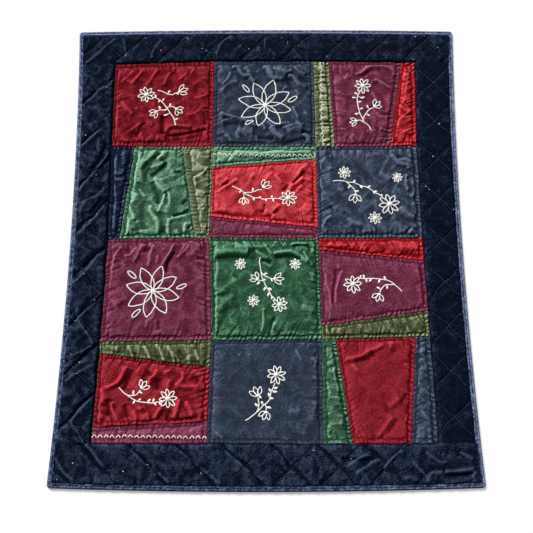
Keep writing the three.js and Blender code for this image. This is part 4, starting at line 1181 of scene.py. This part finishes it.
def add_key_light():
    """A broad soft light past the head of the throw, a little to its left."""
    light = bpy.data.lights.new("key", "SUN")
    light.energy = 4.3
    light.angle = math.radians(20)
    level = math.cos(KEY_ELEVATION)
    away = Vector((math.cos(KEY_AZIMUTH) * level, math.sin(KEY_AZIMUTH) * level, math.sin(KEY_ELEVATION)))
    lamp = link("key", light)
    lamp.location = away * 4
    lamp.rotation_euler = away.to_track_quat("Z", "Y").to_euler()


def add_camera():
    camera = bpy.data.cameras.new("camera")
    camera.lens = LENS
    camera.sensor_width = 36
    first, second, third = CAMERA_TURN
    turn = Matrix.Rotation(first, 4, "Z") @ Matrix.Rotation(second, 4, "X") @ Matrix.Rotation(third, 4, "Z")
    eye = link("camera", camera)
    eye.matrix_world = Matrix.Translation(Vector(CAMERA_PLACE) * MM) @ turn
    bpy.context.scene.camera = eye


# ---- The outline -----------------------------------------------------------------------------


def side_x(y, inset):
    return WIDTH / 2 - SIDE_BOW * (1 - (2 * y / LENGTH) ** 2) - inset


def head_y(x, inset):
    return LENGTH / 2 - HEAD_BOW * (2 * x / WIDTH) ** 2 - inset


def foot_y(x, inset):
    return -LENGTH / 2 + FOOT_BOW * (2 * x / WIDTH) ** 2 + inset


def corner(end_y, inset):
    """Where the right side meets the head or the foot."""
    x, y = WIDTH / 2, 0
    for _ in range(6):
        y = end_y(x, inset)
        x = side_x(y, inset)
    return x, y


def edge_at(name, t, inset):
    """The place at the fraction t of an edge, going clockwise, drawn in by inset."""
    head, foot = corner(head_y, inset), corner(foot_y, inset)
    if name == "left":
        y = foot[1] + (head[1] - foot[1]) * t
        return -side_x(y, inset), y
    if name == "right":
        y = head[1] + (foot[1] - head[1]) * t
        return side_x(y, inset), y
    if name == "head":
        x = (2 * t - 1) * head[0]
        return x, head_y(x, inset)
    x = (1 - 2 * t) * foot[0]
    return x, foot_y(x, inset)


def rounded(x, y, inset):
    """Draws a point that lies past a corner's centre in to the corner's radius."""
    corner_x, corner_y = corner(head_y if y > 0 else foot_y, 0)
    centre_x = math.copysign(corner_x - CORNER_RADIUS, x)
    centre_y = corner_y - math.copysign(CORNER_RADIUS, y)
    out_x = max((x - centre_x) * math.copysign(1, x), 0)
    out_y = max((y - centre_y) * math.copysign(1, y), 0)
    if out_x == 0 or out_y == 0:
        return x, y
    pull = max(CORNER_RADIUS - inset, 0.5) / math.hypot(out_x, out_y)
    pull = min(pull, 1)
    return centre_x + (x - centre_x) * pull, centre_y + (y - centre_y) * pull


# ---- Pieces ----------------------------------------------------------------------------------

sheets = {}  # node name: its piece, flat size and area, until the pieces on it are known
tops = {}  # node name: its height over the plan
edges = {}  # border: its edges beside the blocks and beside the binding


def grid(place, width, depth, across, along):
    """Plan places on a grid of fractions, drawn in by half the gap on all four sides."""
    u0, v0 = GAP / 2 / width, GAP / 2 / depth
    u = u0 + (1 - 2 * u0) * across[:, None] + 0 * along[None, :]
    v = v0 + (1 - 2 * v0) * along[None, :] + 0 * across[:, None]
    return place(u, v)


def strip_corners(block, number):
    """The corners of one of a block's patches: at its foot, then its head, from the left."""
    row, column = block
    head_left, head_right = CROSSINGS[row][column : column + 2]
    foot_left, foot_right = CROSSINGS[row + 1][column : column + 2]
    run, inner, _ = BLOCKS[block]
    near, far = [(0, 0), *inner, (1, 1)][number : number + 2]
    if run == "down":
        heads = [between(head_left, head_right, end[0]) for end in (near, far)]
        feet = [between(foot_left, foot_right, end[1]) for end in (near, far)]
        return *feet, *heads
    lefts = [between(head_left, foot_left, end[0]) for end in (far, near)]
    rights = [between(head_right, foot_right, end[1]) for end in (far, near)]
    return lefts[0], rights[0], lefts[1], rights[1]


def add_patch(block, number, seed):
    fl, fr, hl, hr = strip_corners(block, number)
    velvet, crumple, gathers, wear_and_painted_shade = BLOCKS[block][2][number]
    name = f"patch_r{block[0] + 1}_c{block[1] + 1}_{velvet}"
    width = (math.dist(hl, hr) + math.dist(fl, fr)) / 2
    depth = (math.dist(hl, fl) + math.dist(hr, fr)) / 2
    vary = np.random.default_rng(seed)
    pull = 0.3 + 0.7 * min(gathers, 1)
    seams = []
    for side, ends in {"foot": [fl, fr], "right": [fr, hr], "head": [hr, hl], "left": [hl, fl]}.items():
        # The width is drawn even where BANDS gives one, so that the later draws don't shift.
        band = BANDS.get((name, side), BAND * vary.uniform(0.85, 1.15))
        hold = EASED if (block[0], side) == (3, "foot") else 1
        rib = hold * pull * RIBS[side] * vary.uniform(0.8, 1.2)
        seams.append((ends, band, rib, hold * pull * LIPS[side], hold))

    def place(u, v):
        return between(between(fl, fr, u), between(hl, hr, u), v)

    height = patch_height(seams, CREASES[block], crumple, gathers, seed)
    x, y = grid(place, width, depth, stops(width), stops(depth))
    piece = add_pad(name, x, y, height(x, y), velvet, "velvet_" + velvet, wear_and_painted_shade)
    around = [fl, fr, hr, hl]
    area = 0.5 * abs(sum(a[0] * b[1] - b[0] * a[1] for a, b in zip(around, [*around[1:], fl])))
    sheets[name] = (piece, (width, depth), area)
    tops[name] = height


def add_border(side, inner, outer_at, beside=slice(None)):
    """A border strip between inner points and outer_at; beside are the points by the blocks."""
    name = "border_" + side
    length = sum(step_lengths(inner))
    depth = math.dist(along_chain(inner, 0.5), outer_at(0.5))

    def place(u, v):
        x0, y0 = along_chain(inner, u)
        outer = np.array([outer_at(t) for t in u[:, 0]])
        return x0 + (outer[:, :1] - x0) * v, y0 + (outer[:, 1:] - y0) * v

    outer = [outer_at(t) for t in np.linspace(0, 1, 40)]
    height = border_height(side, inner[beside], outer)
    x, y = grid(place, length, depth, stops(length, BORDER_STEP), stops(depth, BORDER_STEP))
    piece = add_pad(name, x, y, height(x, y), "border", "border", BORDER_WEAR[side])
    sheets[name] = (piece, (length, depth), None)
    tops[name] = height
    edges[side] = (inner, outer)


def add_binding(side, seed):
    """A strip folded over the edge, puckered by its stitches."""
    name = "binding_" + side
    length = math.dist(edge_at(side, 0, 0), edge_at(side, 1, 0))
    at = np.linspace(0.0001, 0.9999, round(length / BINDING_STEP))
    s = at * length
    lines = []
    for inset, z in BINDING_SECTION:
        line = np.array([rounded(*edge_at(side, t, inset), inset) for t in at])
        ribs = np.sin(2 * np.pi * (s + 0.4 * inset) / BINDING_RIB + 2.5 * noise(s, 5.0, 30, seed))
        swell = ribs * (0.35 + 0.5 * noise(s, 9.0, 50, seed + 1))
        swell += 0.8 * noise(s, inset * 1.6, 26, seed + 2)
        swell += 0.8 * noise(s, inset * 1.5, 10, seed + 3)
        lines.append(np.column_stack([line, z + swell * (z / BINDING_Z) ** 2]))
    rings = np.stack(lines, 1)
    faces = tube_faces(len(at), len(BINDING_SECTION))
    piece = add_piece("velvet_" + name, rings.reshape(-1, 3), faces, MATERIALS["binding"], "binding", name)
    shape = bmesh.new()
    shape.from_mesh(piece.data)
    bmesh.ops.recalc_face_normals(shape, faces=shape.faces)
    shape.to_mesh(piece.data)
    shape.free()
    z = rings[:, :, 2]
    # Painted shade and light across the binding's section, shifted paler or darker along its length.
    wear_and_painted_shade = np.interp([inset for inset, _ in BINDING_SECTION], [1, 7, 14], BINDING_PAINTED_SHADING[side])
    # Painted highlight on the puckers and painted shade between them.
    add_values(piece, "crest_wear_and_painted_shade", (z - blurred(z, 6)) / 0.5)
    add_values(piece, "wear_and_painted_light", wear_and_painted_shade + BINDING_FADE[side] * (2 * at[:, None] - 1))
    sheets[name] = (piece, (length, BINDING_WIDTH + BINDING_TURN), None)


# ---- Embroidery ------------------------------------------------------------------------------


def on_cloth(x, y, height, lift):
    """Points that lie on the cloth at places of the plan."""
    z = height(x, y) + lift
    return np.column_stack([*strayed(x, y), z])


def laid(points, height, radius, lift=0.55):
    """A thread along plan points that lies on the cloth, pinched between its stitches."""
    x, y = np.asarray(points).T
    points = on_cloth(x, y, height, lift)
    steps = np.hypot(*np.diff(points[:, :2], axis=0).T)
    s = np.concatenate([[0], np.cumsum(steps)])
    radii = radius * (1 + 0.16 * np.cos(2 * np.pi * s / STITCH))
    return tube_mesh(points, radii, flat=0.42)


def blob(x, y, heading, length, width, height, lift=0.5):
    """A small filled shape: a leaf, or the middle of a flower."""
    t = np.linspace(0, 1, 9)
    turn = math.radians(heading)
    out = length * (t - 0.5)
    points = on_cloth(x + out * math.cos(turn), y + out * math.sin(turn), height, lift)
    radii = 0.5 * width * np.maximum(np.sin(np.pi * t), 0.05) ** 0.6
    return tube_mesh(points, radii, flat=0.5, sides=8)


def petal(x, y, heading, near, far, half_width, root, tip, height, radius):
    """A petal's outline, from its root round its tip and back, wider where root > tip."""
    t = np.linspace(0, 1, round(2.3 * (far - near) / THREAD_STEP))
    s = 1 - np.abs(2 * t - 1)
    widest = root / (root + tip)
    width = (s / widest) ** root * (np.maximum(1 - s, 0) / (1 - widest)) ** tip
    out = near + (far - near) * s
    off = half_width * width * np.where(t < 0.5, 1, -1)
    turn = math.radians(heading)
    line_x = x + out * math.cos(turn) - off * math.sin(turn)
    line_y = y + out * math.sin(turn) + off * math.cos(turn)
    return laid(np.column_stack([line_x, line_y]), height, radius)


def flower(height, vary, x, y, radius, turn):
    parts = [blob(x, y, 20, 0.5 * radius, 0.5 * radius, height, 0.7)]
    for i in range(8):
        heading = turn + 45 * i + vary.uniform(-4, 4)
        far = radius * vary.uniform(0.93, 1.04)
        near, wide = 0.12 * radius, 0.18 * radius
        parts.append(petal(x, y, heading, near, far, wide, 0.9, 0.85, height, RADII["flower"]))
    return parts


def floret(height, vary, x, y, radius, turn):
    parts = [blob(x, y, 60, 0.62 * radius, 0.62 * radius, height, 0.7)]
    for i in range(8):
        heading = turn + 45 * i + vary.uniform(-3, 3)
        near, far, wide = 0.15 * radius, 1.05 * radius, 0.17 * radius
        parts.append(petal(x, y, heading, near, far, wide, 0.9, 0.9, height, RADII["floret"]))
    return parts


def bloom(height, vary, x, y, *tips):
    parts = [blob(x, y, 0, 6, 6, height, 0.8)]
    for tip_x, tip_y in pairs(tips):
        heading = math.degrees(math.atan2(tip_y - y, tip_x - x))
        far = math.hypot(tip_x - x, tip_y - y)
        parts.append(petal(x, y, heading, 0, far, 0.212 * far, 0.8, 0.88, height, RADII["bloom"]))
    return parts


def bud(height, vary, x, y, size, heading):
    turn = math.radians(heading)
    parts = [blob(x + 3.5 * math.cos(turn), y + 3.5 * math.sin(turn), heading + 90, 13, 9, height, 0.6)]
    for spread in (-48, 0, 48):
        root_x = x + 3 * math.cos(turn) - 0.07 * spread * math.sin(turn)
        root_y = y + 3 * math.sin(turn) + 0.07 * spread * math.cos(turn)
        far = size * (0.95 if spread == 0 else 0.85)
        lean = heading + 0.75 * spread
        parts.append(petal(root_x, root_y, lean, 1, far, 0.2 * size, 0.8, 0.9, height, RADII["bud"]))
    return parts


def leaf(height, vary, x, y, length, heading):
    return [blob(x, y, heading, 1.15 * length, 0.62 * length, height)]


def hollow(height, vary, x, y, length, heading):
    turn = math.radians(heading)
    x, y = x - 0.5 * length * math.cos(turn), y - 0.5 * length * math.sin(turn)
    return [petal(x, y, heading, 0, length, 0.18 * length, 0.6, 0.55, height, RADII["hollow"])]


def stem(height, vary, *numbers):
    return [laid(curve_through(pairs(numbers), THREAD_STEP), height, RADII["stem"])]


SHAPES = {shape.__name__: shape for shape in (flower, floret, bloom, bud, leaf, hollow, stem)}


def add_stitching(piece_name, parts, name, slot="thread", thread=THREAD):
    piece = add_piece(piece_name, *join_meshes(parts), thread, slot, name)
    stitched[name].append(piece)


def add_motifs(name, seed):
    vary = np.random.default_rng(seed)
    height = tops[name]
    parts = []
    for kind, rows in MOTIFS[name].items():
        for x, y, *numbers in rows:
            y = y if kind == "stem" else y - RAISED_VIEW
            parts += SHAPES[kind](height, vary, x, y, *numbers)
    on_stems = [place for row in MOTIFS[name].get("stem", []) for place in curve_through(pairs(row), 2)]
    for x, y, *_ in MOTIFS[name].get("leaf", []):
        middle = (x, y - RAISED_VIEW)
        root = min(on_stems, key=lambda place: math.dist(place, middle))
        stalk = [between(root, middle, t) for t in np.linspace(0, 1, 7)]
        parts.append(laid(stalk, height, RADII["stalk"]))
    add_stitching("embroidery_" + name, parts, name)


def add_stitch_line(name):
    """A row of machine stitching: separate arches, or one thread that waves."""
    kind, *through, pitch, tall = STITCH_LINES[name]
    length = sum(step_lengths(through))
    middle = curve_through(through, 10)
    if kind == "arch":
        across = np.linspace(-0.5, 0.5, 13)
        turns = [(i + 0.5) * pitch + 0.74 * pitch * across for i in range(round(length / pitch))]
        sways = [tall * (0.6 - np.abs(2 * across) ** 1.5)] * len(turns)
    else:
        turns = [np.linspace(4, length - 4, round(length / 1.1))]
        sways = [0.5 * tall * np.sin(2 * np.pi * (s + 1.5 * noise(s, 1.0, 60, 5)) / pitch) for s in turns]
    parts = []
    for s, sway in zip(turns, sways):
        x, y = along_chain(middle, s / length)
        along_x, along_y = np.gradient(x), np.gradient(y)
        size = np.hypot(along_x, along_y)
        line = np.column_stack([x - sway * along_y / size, y + sway * along_x / size])
        parts.append(laid(line, tops[name], RADII["machine"], 0.7))
    add_stitching("stitch_line_" + name, parts, name)


# ---- Quilting --------------------------------------------------------------------------------


def add_specks(side, seed):
    vary = np.random.default_rng(seed)
    name = "border_" + side
    parts = []
    for x, y in pairs(SPECKS[side]):
        heading, length = vary.choice([45, 135]), vary.uniform(3.4, 5.2)
        parts.append(blob(x, y, heading, length, 1.5, tops[name], 0.5))
    add_stitching("quilting_stitches_" + side, parts, name)


def add_quilting(side):
    """The fine running stitch along a border's quilted lines."""
    name = "border_" + side
    inner, outer = edges[side]
    around = [*inner, *outer[::-1]]
    straight_x = np.arange(-640, 640, QUILT_STITCH)
    parts = []
    for key, turn in (("rising", 1), ("falling", -1)):
        first, pitch, _ = QUILTING[side][key]
        for line in QUILT_LINES:
            straight_y = turn * straight_x + first + line * pitch
            x, y = straight_x, straight_y
            for _ in range(4):
                bend_x, bend_y = bent(x, y)
                x, y = x + straight_x - bend_x, y + straight_y - bend_y
            clear = np.minimum(nearest_on(x, y, inner)[0], nearest_on(x, y, outer)[0])
            kept = is_inside(x, y, around) & (clear > QUILT_CLEAR)
            if side == "foot":
                kept &= foot_fade(key, x) > 0.4
            places = np.column_stack([x, y, tops[name](x, y) + 0.45])
            for i in np.flatnonzero(kept[:-1]):
                here, there = places[i], places[i + 1]
                stitch = [here + (there - here) * t for t in (0, 0.28, 0.56)]
                parts.append(tube_mesh(stitch, RADII["quilting"], sides=5))
    add_stitching("quilting_thread_" + side, parts, name, "border", QUILTING_THREAD)


# ---- Assembly --------------------------------------------------------------------------------


def binding_at(sign, y):
    return sign * side_x(y, BINDING_WIDTH), y


add_floor()
add_world()
add_key_light()
add_camera()

patches = [(block, number) for block in BLOCKS for number in range(len(BLOCKS[block][2]))]
for place, (block, number) in enumerate(patches, 1):
    add_patch(block, number, 100 * place)

head_row, foot_row = CROSSINGS[0], CROSSINGS[-1]
left_column, right_column = [row[0] for row in CROSSINGS], [row[-1] for row in CROSSINGS]
head_left, head_right = binding_at(-1, head_row[0][1]), binding_at(1, head_row[-1][1])
foot_left, foot_right = binding_at(-1, foot_row[0][1]), binding_at(1, foot_row[-1][1])
head_inner, foot_inner = [head_left, *head_row, head_right], [foot_right, *foot_row[::-1], foot_left]
by_blocks = slice(1, -1)

add_border("left", left_column[::-1], lambda t: binding_at(-1, between(foot_left, head_left, t)[1]))
add_border("head", head_inner, lambda t: edge_at("head", t, BINDING_WIDTH), by_blocks)
add_border("right", right_column, lambda t: binding_at(1, between(head_right, foot_right, t)[1]))
add_border("foot", foot_inner, lambda t: edge_at("foot", t, BINDING_WIDTH), by_blocks)

for number, side in enumerate(["left", "head", "right", "foot"]):
    add_binding(side, 5001 + 10 * number)

stitched = {name: [] for name in sheets}  # node name: the pieces that are sewn on it
for number, name in enumerate(MOTIFS):
    add_motifs(name, 6001 + number)
for name in STITCH_LINES:
    add_stitch_line(name)
for number, side in enumerate(SPECKS):
    add_specks(side, 7001 + number)
    add_quilting(side)

bpy.context.scene.view_settings.view_transform = "Standard"
